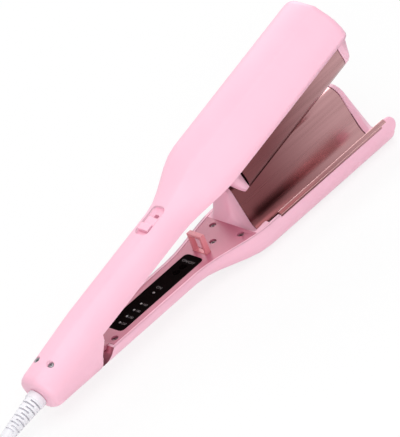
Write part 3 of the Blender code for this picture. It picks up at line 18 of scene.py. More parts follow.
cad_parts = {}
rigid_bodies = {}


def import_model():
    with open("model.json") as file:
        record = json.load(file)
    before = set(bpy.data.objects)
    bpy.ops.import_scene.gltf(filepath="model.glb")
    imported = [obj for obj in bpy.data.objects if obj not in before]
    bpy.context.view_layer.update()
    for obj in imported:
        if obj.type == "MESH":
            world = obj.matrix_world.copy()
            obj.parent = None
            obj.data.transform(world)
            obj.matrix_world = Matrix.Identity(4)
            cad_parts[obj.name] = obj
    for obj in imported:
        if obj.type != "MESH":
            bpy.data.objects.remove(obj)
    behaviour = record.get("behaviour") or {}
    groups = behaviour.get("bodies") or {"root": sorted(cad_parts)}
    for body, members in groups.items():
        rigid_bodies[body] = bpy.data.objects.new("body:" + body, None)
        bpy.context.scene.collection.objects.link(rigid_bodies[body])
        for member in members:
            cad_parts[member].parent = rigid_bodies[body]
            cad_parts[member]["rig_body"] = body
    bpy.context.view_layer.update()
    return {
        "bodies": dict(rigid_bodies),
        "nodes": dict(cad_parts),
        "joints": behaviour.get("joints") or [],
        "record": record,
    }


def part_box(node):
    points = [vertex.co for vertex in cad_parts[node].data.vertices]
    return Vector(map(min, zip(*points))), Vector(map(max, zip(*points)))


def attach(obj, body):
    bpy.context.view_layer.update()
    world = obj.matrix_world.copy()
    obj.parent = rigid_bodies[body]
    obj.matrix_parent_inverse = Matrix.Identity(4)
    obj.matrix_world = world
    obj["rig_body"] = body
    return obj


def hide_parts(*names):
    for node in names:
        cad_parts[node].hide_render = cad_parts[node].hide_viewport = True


MM = 0.001
LOG = logging.getLogger("hair_iron")

OPEN_ANGLE = math.radians(12.7)
HINGE = Vector((-217.5, 5.35, 23.0)) * MM
LOWER_FRAME = Matrix.Translation(HINGE)
UPPER_FRAME = (Matrix.Translation(HINGE) @ Matrix.Rotation(-OPEN_ANGLE, 4, "Y")
               @ Matrix.Rotation(math.pi, 4, "X"))

Point = tuple[float, float]
Piece = bpy.types.Object
Tree = bpy.types.NodeTree
Node = bpy.types.Node
Socket = bpy.types.NodeSocket

# Most of a noise's values lie between these two
NOISE_LOW = 0.3
NOISE_HIGH = 0.7


class Body(Enum):
    """The bodies that pieces ride on."""

    UPPER = "upper_arm"
    LOWER = "lower_arm"
    SLIDER = "latch_slider"
    POWER = "power_button"
    TEMPERATURE = "temperature_button"


# Colours and shader nodes

def linear(colour: str) -> tuple[float, float, float, float]:
    """Turn an sRGB hex colour into linear numbers.

    Args:
        colour: six hex digits, such as "F4B8CC".

    Returns:
        Linear red, green and blue, and an alpha of 1.
    """
    parts = []
    for i in (0, 2, 4):
        value = int(colour[i:i + 2], 16) / 255
        parts.append(value / 12.92 if value <= 0.04045 else ((value + 0.055) / 1.055) ** 2.4)
    return (parts[0], parts[1], parts[2], 1.0)


def smooth_step(share: float) -> float:
    """A share eased at both of its ends."""
    share = min(max(share, 0), 1)
    return share * share * (3 - 2 * share)


def add_node(tree: Tree, kind: str, settings: dict | None = None,
             inputs: dict | None = None) -> Node:
    """Add a shader node with its settings, constants and links.

    Args:
        tree: the node tree that gets the node.
        kind: the node's type, such as "ShaderNodeTexNoise".
        settings: properties of the node and their values.
        inputs: sockets by name or number, each with a constant or the output that feeds it.

    Returns:
        The new node.
    """
    node = tree.nodes.new(kind)
    for name, value in (settings or {}).items():
        setattr(node, name, value)
    for name, value in (inputs or {}).items():
        if isinstance(value, Socket):
            tree.links.new(value, node.inputs[name])
        else:
            node.inputs[name].default_value = value
    return node


def vary(tree: Tree, noise: Socket, low: float, high: float) -> Socket:
    """Map a noise's usual values to those from low to high."""
    return add_node(tree, "ShaderNodeMapRange", None,
                    {"Value": noise, "From Min": NOISE_LOW, "From Max": NOISE_HIGH,
                     "To Min": low, "To Max": high}).outputs["Result"]


def mix_colours(tree: Tree, share: Socket, first: Socket | tuple, second: str) -> Socket:
    """Mix two colours.

    Args:
        tree: the material's node tree.
        share: 0 for the first colour, 1 for the second.
        first: the first colour, as linear numbers or an output.
        second: the second colour, in hex.

    Returns:
        The mixed colour.
    """
    return add_node(tree, "ShaderNodeMix", {"data_type": "RGBA"},
                    {"Factor": share, "A": first, "B": linear(second)}).outputs["Result"]


@dataclass(frozen=True)
class Finish:
    """What every finish has: a name, the record's slot, a colour, a roughness and faint patterns.

    A pattern is a noise: its feature size in millimetres, its octaves and what it does. Patches mix
    the colour with the other one by a share from low to high, gloss moves the roughness by a step
    from low to high, and relief raises the surface by a height in millimetres.
    """

    name: str
    slot: str
    colour: str
    roughness: float
    other: str = ""
    patches: tuple = ()
    gloss: tuple = ()
    relief: tuple = ()
    index: float = 1.5
    specular: float = 0.5
    metallic: float = 0.0
    subsurface: float = 0.0
    scatter: tuple = (1.0, 0.2, 0.1)
    scatter_depth: float = 1.0

    def material(self) -> bpy.types.Material:
        """Make the finish's material once.

        Returns:
            The material, the same one each time.
        """
        found = bpy.data.materials.get(self.name)
        if found is not None:
            return found
        material = bpy.data.materials.new(self.name)
        material.use_nodes = True
        material.diffuse_color = linear(self.colour)
        tree = material.node_tree
        shader = tree.nodes["Principled BSDF"]
        for socket, value in (("Base Color", linear(self.colour)), ("Roughness", self.roughness),
                              ("IOR", self.index), ("Specular IOR Level", self.specular),
                              ("Metallic", self.metallic), ("Subsurface Weight", self.subsurface),
                              ("Subsurface Radius", self.scatter),
                              ("Subsurface Scale", self.scatter_depth * MM)):
            shader.inputs[socket].default_value = value
        if self.patches:
            tree.links.new(self.tone(tree), shader.inputs["Base Color"])
        if self.gloss:
            size, detail, low, high = self.gloss
            gloss = vary(tree, self.noise(tree, size, detail), self.roughness + low,
                         self.roughness + high)
            tree.links.new(gloss, shader.inputs["Roughness"])
        if self.relief:
            size, detail, height = self.relief
            bump = add_node(tree, "ShaderNodeBump", None,
                            {"Height": self.noise(tree, size, detail), "Distance": height * MM,
                             "Strength": 1.0})
            tree.links.new(bump.outputs["Normal"], shader.inputs["Normal"])
        return material

    def base(self, tree: Tree) -> Socket | tuple:
        """The colour under the patches."""
        return linear(self.colour)

    def tone(self, tree: Tree) -> Socket:
        """The finish's colour with its patches."""
        size, detail, low, high = self.patches
        share = vary(tree, self.noise(tree, size, detail), low, high)
        return mix_colours(tree, share, self.base(tree), self.other)

    def place(self, tree: Tree) -> Socket:
        """Where its patterns are read: object coordinates, in metres from the model's origin."""
        return add_node(tree, "ShaderNodeTexCoord").outputs["Object"]

    def noise(self, tree: Tree, size: float, detail: float) -> Socket:
        """Noise whose features are size millimetres across, with detail octaves."""
        return add_node(tree, "ShaderNodeTexNoise", None,
                        {"Vector": self.place(tree), "Scale": 1 / (size * MM),
                         "Detail": detail}).outputs["Fac"]


@dataclass(frozen=True)
class MouldedPlastic(Finish):
    """Injection-moulded plastic from a spark-eroded mould: soft highlights and a faint grain.

    Real mould grain is about 0.1 mm; it is drawn coarser so that it shows.
    """

    patches: tuple = (45.0, 2, 0.0, 0.5)
    gloss: tuple = (0.8, 3, -0.04, 0.05)
    relief: tuple = (0.8, 3, 0.006)
    index: float = 1.53
    scatter: tuple = (1.0, 0.45, 0.5)
    scatter_depth: float = 0.8


@dataclass(frozen=True)
class CoatedPlate(Finish):
    """Extruded aluminium with a coloured hard coat: a satin metal, faintly marked lengthwise, its
    coat painted darker towards the hinge and lighter towards the nose as painted shade and
    reflection.
    """

    other: str = "6E4546"
    patches: tuple = (2.2, 2, 0.0, 0.22)
    gloss: tuple = (2.2, 2, -0.03, 0.05)
    metallic: float = 1.0
    mark_length: float = 90.0
    # Painted light: the coat runs from its own colour near the hinge, as painted shade, to this
    # lighter colour at the nose, as painted reflection.
    front: str = "C19496"
    painted_shade_x: float = -42.0
    painted_light_x: float = 48.0

    def base(self, tree: Tree) -> Socket:
        """The coat with painted light: darker towards the hinge as painted shade, lighter towards the
        nose as painted reflection.
        """
        spot = super().place(tree)
        x = add_node(tree, "ShaderNodeSeparateXYZ", None, {"Vector": spot}).outputs["X"]
        share = add_node(tree, "ShaderNodeMapRange", {"interpolation_type": "SMOOTHSTEP"},
                         {"Value": x, "From Min": self.painted_shade_x * MM,
                          "From Max": self.painted_light_x * MM}).outputs["Result"]
        return mix_colours(tree, share, linear(self.colour), self.front)

    def place(self, tree: Tree) -> Socket:
        """Object coordinates, drawn out along the extrusion."""
        stretch = self.patches[0] / self.mark_length
        return add_node(tree, "ShaderNodeMapping", None,
                        {"Vector": super().place(tree),
                         "Scale": (stretch, 1.0, 1.0)}).outputs["Vector"]


@dataclass(frozen=True)
class PolishedBlack(Finish):
    """Black acrylic with an anti-glare face: a deep tone, with a little dust and handling haze."""

    other: str = "1C1819"
    patches: tuple = (0.7, 1, -1.2, 0.35)
    gloss: tuple = (12.0, 4, 0.0, 0.12)
    specular: float = 0.0


@dataclass(frozen=True)
class FlexibleVinyl(Finish):
    """Soft PVC: a waxy sheen, a faint orange peel, and slightly see-through edges."""

    other: str = "D9D7DE"
    patches: tuple = (20.0, 2, 0.0, 0.7)
    relief: tuple = (1.2, 2, 0.008)
    subsurface: float = 0.15
    scatter: tuple = (1.0, 0.9, 0.9)


@dataclass(frozen=True)
class Metal(Finish):
    """Turned or plated metal, with fine machining marks."""

    other: str = "6E6E70"
    patches: tuple = (0.5, 3, 0.0, 0.5)
    gloss: tuple = (0.5, 3, 0.0, 0.15)
    metallic: float = 1.0


@dataclass(frozen=True)
class Mineral(Finish):
    """Pressed and fired or filled material: matt, flecked and finely pitted."""

    other: str = "B8AF9C"
    patches: tuple = (0.6, 4, 0.0, 0.8)
    relief: tuple = (0.6, 4, 0.05)


@dataclass(frozen=True)
class MilkyLens(Finish):
    """Milky polycarbonate, a little cloudy, which light from behind would fill."""

    other: str = "8A8384"
    patches: tuple = (1.0, 2, 0.0, 0.6)
    subsurface: float = 0.3
    scatter_depth: float = 0.6


PINK = MouldedPlastic("abs_satin_pink", "pink_plastic", "FAC3D6", 0.42, "F6B9CE",
                      subsurface=0.05)
# Painted shade: the deck is the casing's pink, deepened here for the shade and the pink light that
# bounces between the arms.
PAINTED_SHADE_PINK = MouldedPlastic("abs_satin_pink_painted_shade", "deck_plastic", "C8738B", 0.46, "BB667F")
# Painted shade: the casing's pink deepened, for the inner walls in the tail's shaded mouth.
MOUTH_PAINTED_SHADE = MouldedPlastic("abs_pink_painted_mouth_shade", "pink_plastic", "B4566C", 0.5, "A84C62")
SALMON = MouldedPlastic("abs_satin_salmon", "latch_plastic", "E58C96", 0.42, "DB7F8A")
PLATE = CoatedPlate("aluminium_rose_gold_coat", "rose_plate", "774548", 0.24)
# Partly painted highlight: the lip's rounded edges are real, and this metal, much lighter than the
# plate's coat, paints their highlights.
PAINTED_HIGHLIGHT_METAL = Metal("aluminium_rose_painted_highlight", "rose_plate", "D9B0B0", 0.2, "C08F90")
BLACK = PolishedBlack("acrylic_black", "gloss_black", "120E0E", 0.3)
KEY_BLACK = PolishedBlack("abs_black_keys", "button_black", "080505", 0.35)
LENS = MilkyLens("polycarbonate_milky", "lamp_window", "544D4E", 0.3)
PRINT = Finish("ink_pad_printed_grey", "lamp_window", "554E50", 0.6)
VINYL = FlexibleVinyl("pvc_soft_white", "white_rubber", "F2F1F5", 0.42)
STEEL = Metal("steel_zinc_plated", "steel", "A9A9AC", 0.3)
# Partly painted reflection: a dark steel, tinted pink for the pink casing that the sunk heads
# reflect.
DARK_STEEL_PAINTED_REFLECTION = Metal("steel_dark_painted_pink_reflection", "steel", "8E767C", 0.38, "5F4A50")
BRASS = Metal("brass_turned", "brass", "C8A662", 0.28, "A78642")
CERAMIC = Mineral("ceramic_unglazed", "heater_ceramic", "D6CDBB", 0.7)
RESIN = Mineral("phenolic_black", "heat_resin", "2A2626", 0.6, "3B3534")
BOARD = Mineral("glass_epoxy_green", "circuit_green", "1E6B3C", 0.45, "2F7F4C")
FINISH_OF_SLOT = {finish.slot: finish for finish in
                  (PINK, PAINTED_SHADE_PINK, SALMON, PLATE, BLACK, KEY_BLACK, LENS, VINYL, STEEL, BRASS, CERAMIC,
                   RESIN, BOARD)}


# Work on meshes

def select_only(piece: Piece) -> None:
    """Deselect everything, then select one piece and make it active."""
    bpy.ops.object.select_all(action="DESELECT")
    piece.select_set(True)
    bpy.context.view_layer.objects.active = piece


def settle(piece: Piece, move: Matrix | None = None) -> None:
    """Put a piece's place into its mesh, then move the mesh."""
    select_only(piece)
    bpy.ops.object.transform_apply(location=True, rotation=True, scale=True)
    if move is not None:
        piece.data.transform(move)


def add_modifier(piece: Piece, kind: str, **settings: object) -> None:
    """Add a modifier with its settings and apply it."""
    select_only(piece)
    modifier = piece.modifiers.new(kind.lower(), kind)
    for name, value in settings.items():
        setattr(modifier, name, value)
    bpy.ops.object.modifier_apply(modifier=modifier.name)


def added(name: str, operator: Callable, **settings: object) -> Piece:
    """Deselect everything, add an object with one of Blender's operators, and name it.

    Args:
        name: the object's name.
        operator: the operator that adds it.
        settings: the operator's settings.

    Returns:
        The new object.
    """
    bpy.ops.object.select_all(action="DESELECT")
    operator(**settings)
    bpy.context.object.name = name
    return bpy.context.object


def edit(piece: Piece, *steps: Callable) -> None:
    """Run steps in edit mode, with all of a piece's mesh selected."""
    select_only(piece)
    bpy.ops.object.mode_set(mode="EDIT")
    bpy.ops.mesh.select_all(action="SELECT")
    for step in steps:
        step()
    bpy.ops.object.mode_set(mode="OBJECT")


def clean(piece: Piece) -> None:
    """Merge a copied solid's doubles and dissolve the edges that divide flat faces."""
    edit(piece, lambda: bpy.ops.mesh.remove_doubles(threshold=0.01 * MM),
         lambda: bpy.ops.mesh.dissolve_limited(angle_limit=math.radians(0.4)))


def recalculate(piece: Piece) -> None:
    """Merge doubles and turn all faces outwards."""
    edit(piece, lambda: bpy.ops.mesh.remove_doubles(threshold=0.001 * MM),
         lambda: bpy.ops.mesh.normals_make_consistent(inside=False))


def smooth(piece: Piece, angle: float = 35.0) -> None:
    """Shade a piece smooth, with edges sharper than angle degrees kept."""
    select_only(piece)
    bpy.ops.object.shade_smooth_by_angle(angle=math.radians(angle))


def weigh_normals(piece: Piece, weight: int = 90) -> None:
    """Keep large faces flat to the eye, and let the narrow rounds turn the light."""
    add_modifier(piece, "WEIGHTED_NORMAL", keep_sharp=True, weight=weight)


def bevel_rims(piece: Piece, width: float, angle: float = 50.0, segments: int = 2) -> None:
    """Round a piece's sharp edges.

    Args:
        piece: the piece.
        width: width of the round, in metres.
        angle: the least angle of an edge that is rounded, in degrees.
        segments: how many faces make the round.
    """
    add_modifier(piece, "BEVEL", width=width, segments=segments, limit_method="ANGLE",
                 angle_limit=math.radians(angle), use_clamp_overlap=True, miter_outer="MITER_ARC")


def dress(piece: Piece, finish: Finish, body: Body) -> None:
    """Give a piece its finish and its body, and report it.

    Args:
        piece: the piece.
        finish: what it is made of.
        body: the body that it moves with.
    """
    piece.data.materials.clear()
    piece.data.materials.append(finish.material())
    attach(piece, body.value)
    LOG.info("%s: %s, on %s", piece.name, finish.name, body.value)


def turned(name: str, profile: list[Point], steps: int = 48) -> Piece:
    """Spin a closed profile round the X axis.

    Args:
        name: the piece's name.
        profile: (along, radius) pairs in order.
        steps: faces round the piece.

    Returns:
        The new piece.
    """
    piece = added(name, bpy.ops.mesh.primitive_circle_add, vertices=len(profile), radius=1,
                  fill_type="NOTHING")
    for vertex, (along, radius) in zip(piece.data.vertices, profile):
        vertex.co = (along, 0, radius)
    edit(piece, lambda: bpy.ops.mesh.spin(steps=steps, angle=2 * math.pi, center=(0, 0, 0),
                                          axis=(1, 0, 0)))
    recalculate(piece)
    return piece


def prism(name: str, outline: list[Vector], reach: Vector) -> Piece:
    """A flat outline drawn out into a solid.

    Args:
        name: the piece's name.
        outline: the corners in order.
        reach: how far, and which way, it is drawn out.

    Returns:
        The new piece.
    """
    piece = added(name, bpy.ops.mesh.primitive_circle_add, vertices=len(outline), radius=1,
                  fill_type="NGON")
    for vertex, place in zip(piece.data.vertices, outline):
        vertex.co = place
    edit(piece, lambda: bpy.ops.mesh.extrude_region_move(TRANSFORM_OT_translate={"value": reach}))
    recalculate(piece)
    return piece


def subtract(piece: Piece, cutter: Piece) -> None:
    """Cut one piece out of another, and delete the cutter."""
    add_modifier(piece, "BOOLEAN", object=cutter, operation="DIFFERENCE", solver="EXACT")
    bpy.data.objects.remove(cutter)


def arc(centre: Point, radius: float, start: float, end: float, steps: int) -> list[Point]:
    """Points on an arc from one angle to another, both ends included."""
    points = []
    for i in range(steps + 1):
        angle = start + (end - start) * i / steps
        points.append((centre[0] + radius * math.cos(angle), centre[1] + radius * math.sin(angle)))
    return points


# The two arms' outlines, against which their skins are smoothed

@dataclass
class ArmShape:
    """Sections of one arm's outside, in its own frame: X from hinge to nose, the outside at -Z."""

    rim: float
    depth: float
    flare_start: float
    flare_end: float
    half_width: float = 15.0 * MM
    head_half: float = 25.2 * MM
    head_depth: float = 23.0 * MM
    head_rim: float = 4.8 * MM
    corner: float = 12.0 * MM
    corner_steps: int = 12
    far_edge: float = 2.5 * MM
    taper_start: float = 26.0 * MM
    tail_length: float = 24.0 * MM
    taper_back: float = 0.0
    taper_side: float = 0.0
    slope_shares: tuple = ((0.11, 0.065), (0.27, 0.21), (0.44, 0.33), (0.62, 0.475),
                           (0.86, 0.687), (0.985, 0.87), (1.0, 1.0))
    step: float = 3.0 * MM
    fold: float = 80.0

    def head(self) -> list[Point]:
        """The head's outline, from the near rim round the back to the far rim."""
        centre = (self.corner - self.head_half, self.corner - self.head_depth)
        points = [(-self.head_half, -self.head_rim)]
        points += arc(centre, self.corner, math.pi, 1.5 * math.pi, self.corner_steps)
        points.append((self.far_edge, -self.head_depth))
        for across, up in self.slope_shares:
            points.append((self.far_edge + across * (self.head_half - self.far_edge),
                           up * (self.head_depth - self.head_rim) - self.head_depth))
        return points

    def shares(self) -> list[float]:
        """How far along the head's outline each of its points lies."""
        points = self.head()
        lengths = [0.0]
        for a, b in zip(points, points[1:]):
            lengths.append(lengths[-1] + math.dist(a, b))
        return [length / lengths[-1] for length in lengths]

    def section(self, x: float) -> list[Point]:
        """The outside's (y, z) pairs at x, from the near rim round the back to the far rim."""
        share = smooth_step((x - self.flare_start) / (self.flare_end - self.flare_start))
        taper = min(max((self.taper_start - x) / (self.taper_start + self.tail_length), 0), 1)
        points = []
        for place, head in zip(self.shares(), self.head()):
            angle = math.pi * (1 + place)
            waist = 1 + self.taper_side * taper * math.sin(angle)
            y = self.half_width * waist * math.cos(angle)
            z = self.depth * (1 - self.taper_back * taper) * math.sin(angle) - self.rim
            points.append((y + (head[0] - y) * share, z + (head[1] - z) * share))
        return points

    def skin(self, name: str, start: float, end: float) -> Piece:
        """A smooth open sheet on the arm's outside, in the arm's own frame.

        Args:
            name: the sheet's name.
            start: where it begins.
            end: where it ends.

        Returns:
            The sheet.
        """
        columns = len(self.shares())
        rows = round((end - start) / self.step) + 1
        sheet = added(name, bpy.ops.mesh.primitive_grid_add, x_subdivisions=columns - 1,
                      y_subdivisions=rows - 1, size=1)
        for row in range(rows):
            x = start + (end - start) * row / (rows - 1)
            for column, (y, z) in enumerate(self.section(x)):
                sheet.data.vertices[row * columns + column].co = (x, y, z)
        recalculate(sheet)
        smooth(sheet, self.fold)
        return sheet


UPPER_SHAPE = ArmShape(rim=2.9 * MM, depth=14.9 * MM, flare_start=109.5 * MM, flare_end=156.0 * MM,
                       taper_back=0.22, taper_side=0.15)
LOWER_SHAPE = ArmShape(rim=4.0 * MM, depth=12.4 * MM, flare_start=105.5 * MM, flare_end=160.0 * MM)


def borrow_normals(piece: Piece, sheet: Piece, reach: float = 0.25 * MM) -> None:
    """Shade a casing as the smooth sheet on it, as far as it is within reach; delete the sheet."""
    add_modifier(piece, "DATA_TRANSFER", object=sheet, use_loop_data=True,
                 data_types_loops={"CUSTOM_NORMAL"}, loop_mapping="POLYINTERP_LNORPROJ",
                 use_max_distance=True, max_distance=reach)
    bpy.data.objects.remove(sheet)


# Sub-assemblies

@dataclass
class Assembly:
    frame: dict

    def build(self) -> None:
        """Build the pieces; each assembly builds its own."""

    def body_of(self, node: str) -> Body:
        """The body that a solid rides on."""
        return Body(self.frame["nodes"][node]["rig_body"])

    def copy_of(self, node: str, name: str) -> Piece:
        """A new piece with a cleaned copy of a solid's mesh."""
        mesh = self.frame["nodes"][node].data.copy()
        mesh.name = name
        piece = bpy.data.objects.new(name, mesh)
        bpy.context.scene.collection.objects.link(piece)
        clean(piece)
        return piece

    def finished_copy(self, node: str, suffix: str, finish: Finish, width: float = 0.0,
                      weighted: bool = False, angle: float = 50.0, segments: int = 2,
                      fold: float = 35.0) -> Piece:
        """Put a rounded, smoothed and dressed copy in a solid's place.

        Args:
            node: the solid's name.
            suffix: what the piece's name has after the solid's.
            finish: what the piece is made of.
            width: width of its rounds, in metres, or 0 for none.
            weighted: whether its large faces are kept flat to the eye.
            angle: the least angle of an edge that is rounded, in degrees.
            segments: how many faces make a round.
            fold: the angle from which an edge stays sharp, in degrees.

        Returns:
            The piece.
        """
        piece = self.copy_of(node, node + suffix)
        if width > 0:
            bevel_rims(piece, width, angle, segments)
        smooth(piece, fold)
        if weighted:
            weigh_normals(piece)
        dress(piece, finish, self.body_of(node))
        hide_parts(node)
        return piece


@dataclass
class Casings(Assembly):
    """The two outer shells, the near lip's end, and the sheets that close the inner sides."""

    skin_end: float = 262.0 * MM
    upper_skin_start: float = -19.0 * MM
    lower_skin_start: float = 20.0 * MM
    tip_centre: Point = (268.4 * MM, -7.7 * MM)
    tip_radius: float = 4.2 * MM
    end_centre: Point = (268.2 * MM, -9.0 * MM)
    end_radius: float = 5.8 * MM
    end_round: float = 0.9 * MM
    lip_outer: float = -25.15 * MM
    lip_inner: float = -22.6 * MM
    lip_start: float = 266.9 * MM
    block_start: float = 151.6 * MM
    mouth_end: float = 36.0 * MM
    mouth_rim: float = 0.3 * MM

    def build(self) -> None:
        """Build both arms' shells and sheets."""
        self.shell("lower_casing", LOWER_SHAPE, self.lower_skin_start, LOWER_FRAME)
        self.shell("upper_casing", UPPER_SHAPE, self.upper_skin_start, UPPER_FRAME)
        self.sheet("lower_deck", PAINTED_SHADE_PINK)
        self.sheet("upper_liner", PINK)
        self.lip_end()

    def shell(self, node: str, shape: ArmShape, start: float, place: Matrix) -> None:
        """One outer shell.

        Args:
            node: the shell's solid.
            shape: the arm's sections.
            start: where its smooth skin begins.
            place: the arm's own frame.
        """
        piece = self.copy_of(node, node + "_shell")
        if node == "lower_casing":
            self.round_tip(piece)
        smooth(piece)
        sheet = shape.skin(node + "_skin", start, self.skin_end)
        sheet.data.transform(place)
        if place.determinant() < 0:
            sheet.data.flip_normals()
        borrow_normals(piece, sheet)
        dress(piece, PINK, self.body_of(node))
        if node == "lower_casing":
            self.paint_mouth_shade(piece, shape)
        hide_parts(node)

    def paint_mouth_shade(self, piece: Piece, shape: ArmShape) -> None:
        """Paint shade on the inner walls at the tail's mouth: they get a deep rose where the shade
        falls inside it.
        """
        piece.data.materials.append(MOUTH_PAINTED_SHADE.material())
        for face in piece.data.polygons:
            spot = face.center - HINGE
            inward = spot.y * face.normal.y + (spot.z + shape.rim) * face.normal.z < 0
            if inward and spot.x < self.mouth_end and spot.z < -shape.rim - self.mouth_rim:
                face.material_index = 1

    def round_tip(self, piece: Piece) -> None:
        """Round the near lip's front corner, as seen from the side."""
        x, z = self.tip_centre
        far = 2 * self.tip_radius
        outline = [(x, z + far)] + arc(self.tip_centre, self.tip_radius, math.pi / 2, 0, 10)
        outline += [(x + far, z), (x + far, z + far)]
        side = self.lip_outer - MM
        cutter = prism("tip_cutter", [Vector((a, side, b)) for a, b in outline],
                       Vector((0, self.lip_inner + 3 * MM - side, 0)))
        cutter.data.transform(LOWER_FRAME)
        subtract(piece, cutter)

    def lip_end(self) -> None:
        """The rounded end of the near lip, as high as the plate's folded edge behind it."""
        rounded = arc(self.end_centre, self.end_radius, math.pi / 2, -math.pi / 3, 20)
        outline = [(self.lip_start, rounded[-1][1]), (self.lip_start, rounded[0][1])] + rounded
        piece = prism("lower_lip_end", [Vector((x, self.lip_outer, z)) for x, z in outline],
                      Vector((0, self.lip_inner - self.lip_outer, 0)))
        bevel_rims(piece, self.end_round, angle=40, segments=3)
        smooth(piece)
        weigh_normals(piece)
        piece.data.transform(LOWER_FRAME)
        dress(piece, PINK, Body.LOWER)

    def sheet(self, node: str, finish: Finish) -> None:
        """One inner sheet; its block round the plate has the casing's pink, and the rest the given
        finish, which on the deck is painted shade.

        Args:
            node: the sheet's solid.
            finish: the finish of most of it; on the deck, the casing's pink deepened as painted
                shade.
        """
        piece = self.finished_copy(node, "_sheet", finish)
        piece.data.materials.append(PINK.material())
        for face in piece.data.polygons:
            face.material_index = 1 if face.center.x > HINGE.x + self.block_start else 0


@dataclass
class Plates(Assembly):
    """The two heated plates, and the trim on the near lip."""

    edge: float = 0.25 * MM
    trim_start: float = 171.0 * MM
    trim_end: float = 266.6 * MM
    strip_start: float = 261.9 * MM
    strip_end: float = 267.0 * MM
    strip_line: tuple = ((-25.15, -6.0), (-25.15, -4.8), (-24.2, -4.02), (-23.03, -3.1),
                         (-22.63, -3.5), (-22.51, -8.0))
    root_start: float = 162.6 * MM
    root_end: float = 170.8 * MM
    root_line: tuple = ((-24.6, -9.0), (-24.6, -4.9), (-22.5, -4.9), (-22.2, -9.0))
    beads: tuple = ((-23.02, -3.12, 0.32), (-25.1, -4.72, 0.176))

    def strip(self, name: str, finish: Finish, line: tuple, start: float, end: float) -> None:
        """One piece of the near lip's trim, of even section.

        Args:
            name: the piece's name.
            finish: what it is made of.
            line: its section's (y, z) corners in millimetres, in the arm's own frame.
            start: where it begins along the arm.
            end: where it ends.
        """
        piece = prism(name, [Vector((start, y * MM, z * MM)) for y, z in line],
                      Vector((end - start, 0, 0)))
        smooth(piece)
        piece.data.transform(LOWER_FRAME)
        dress(piece, finish, Body.LOWER)

    def bead(self, name: str, y: float, z: float, radius: float) -> None:
        """One bead along the near lip, in a light metal that paints the highlight on the lip's
        rounded edge; its place and radius are in millimetres.
        """
        middle = (self.trim_start + self.trim_end) / 2
        piece = added(name, bpy.ops.mesh.primitive_cylinder_add, vertices=16,
                      radius=radius * MM, depth=self.trim_end - self.trim_start,
                      rotation=(0, math.pi / 2, 0), location=(middle, y * MM, z * MM))
        settle(piece, LOWER_FRAME)
        smooth(piece, 40)
        dress(piece, PAINTED_HIGHLIGHT_METAL, Body.LOWER)

    def build(self) -> None:
        """Build the trim and both plates."""
        self.strip("lower_lip_strip", PLATE, self.strip_line, self.strip_start, self.strip_end)
        self.strip("lower_lip_root", PINK, self.root_line, self.root_start, self.root_end)
        for number, (y, z, radius) in enumerate(self.beads, 1):
            self.bead("lower_lip_bead_%d" % number, y, z, radius)
        for node in ("lower_heat_plate", "upper_heat_plate"):
            self.finished_copy(node, "_coated", PLATE, self.edge)


@dataclass
class Panel(Assembly):
    """The black control panel: its face, two buttons, five lamps, and printed numbers and words."""

    face_height: float = -4.05 * MM
    face_round: float = 0.3 * MM
    print_lift: float = 0.03 * MM
    digit_size: float = 2.6 * MM
    word_size: float = 3.0 * MM
    label_y: float = -3.6 * MM
    level_lamps: tuple = (69.3 * MM, 62.9 * MM, 56.5 * MM, 50.1 * MM)
    levels: tuple = ("160", "180", "200", "220")
    words: tuple = (("label_on_off", "ON/OFF", 112.0 * MM), ("label_on", "ON", 85.5 * MM))
    ink: float = 0.01 * MM
    button_round: float = 0.35 * MM
    button_rim: float = 0.5 * MM
    dish_slope: float = 0.4 * MM
    dish_depth: float = 0.15 * MM
    lamp_round: float = 0.15 * MM

    def build(self) -> None:
        """Build the face, buttons, lamps and print."""
        self.finished_copy("control_panel", "_face", BLACK, self.face_round, weighted=True)
        for node in ("power_button", "temperature_button"):
            self.button(node)
        for number in range(1, 6):
            self.finished_copy("indicator_light_%d" % number, "_lens", LENS, self.lamp_round)
        for place, text in zip(self.level_lamps, self.levels):
            self.printed("level_number_" + text, text, place, self.label_y, self.digit_size)
        for name, text, place in self.words:
            self.printed(name, text, place, 0.0, self.word_size)

    def button(self, node: str) -> None:
        """One round button, with a dished face and a rounded rim."""
        low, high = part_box(node)
        piece = added(node + "_cap", bpy.ops.mesh.primitive_cylinder_add, vertices=40,
                      radius=(high.x - low.x) / 2, depth=high.z - low.z, location=(low + high) / 2)
        settle(piece)
        bpy.ops.object.mode_set(mode="EDIT")
        bpy.ops.mesh.select_all(action="DESELECT")
        bpy.ops.object.mode_set(mode="OBJECT")
        for face in piece.data.polygons:
            face.select = face.normal.z > 0.9
        bpy.ops.object.mode_set(mode="EDIT")
        bpy.ops.mesh.inset(thickness=self.button_rim)
        bpy.ops.mesh.inset(thickness=self.dish_slope, depth=-self.dish_depth)
        bpy.ops.object.mode_set(mode="OBJECT")
        bevel_rims(piece, self.button_round, angle=30, segments=3)
        smooth(piece)
        dress(piece, KEY_BLACK, self.body_of(node))
        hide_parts(node)

    def printed(self, name: str, text: str, x: float, y: float, size: float) -> None:
        """One printed number or word.

        Args:
            name: the piece's name.
            text: what it says.
            x: its place along the arm.
            y: its place across the arm.
            size: its height.
        """
        label = added(name, bpy.ops.object.text_add)
        label.data.body = text
        label.data.size = size
        label.data.align_x = label.data.align_y = "CENTER"
        label.data.extrude = self.ink
        bpy.ops.object.convert(target="MESH")
        spot = Matrix.Translation((x, y, self.face_height + self.print_lift))
        label.data.transform(LOWER_FRAME @ spot @ Matrix.Rotation(-math.pi / 2, 4, "Z"))
        dress(label, PRINT, Body.LOWER)


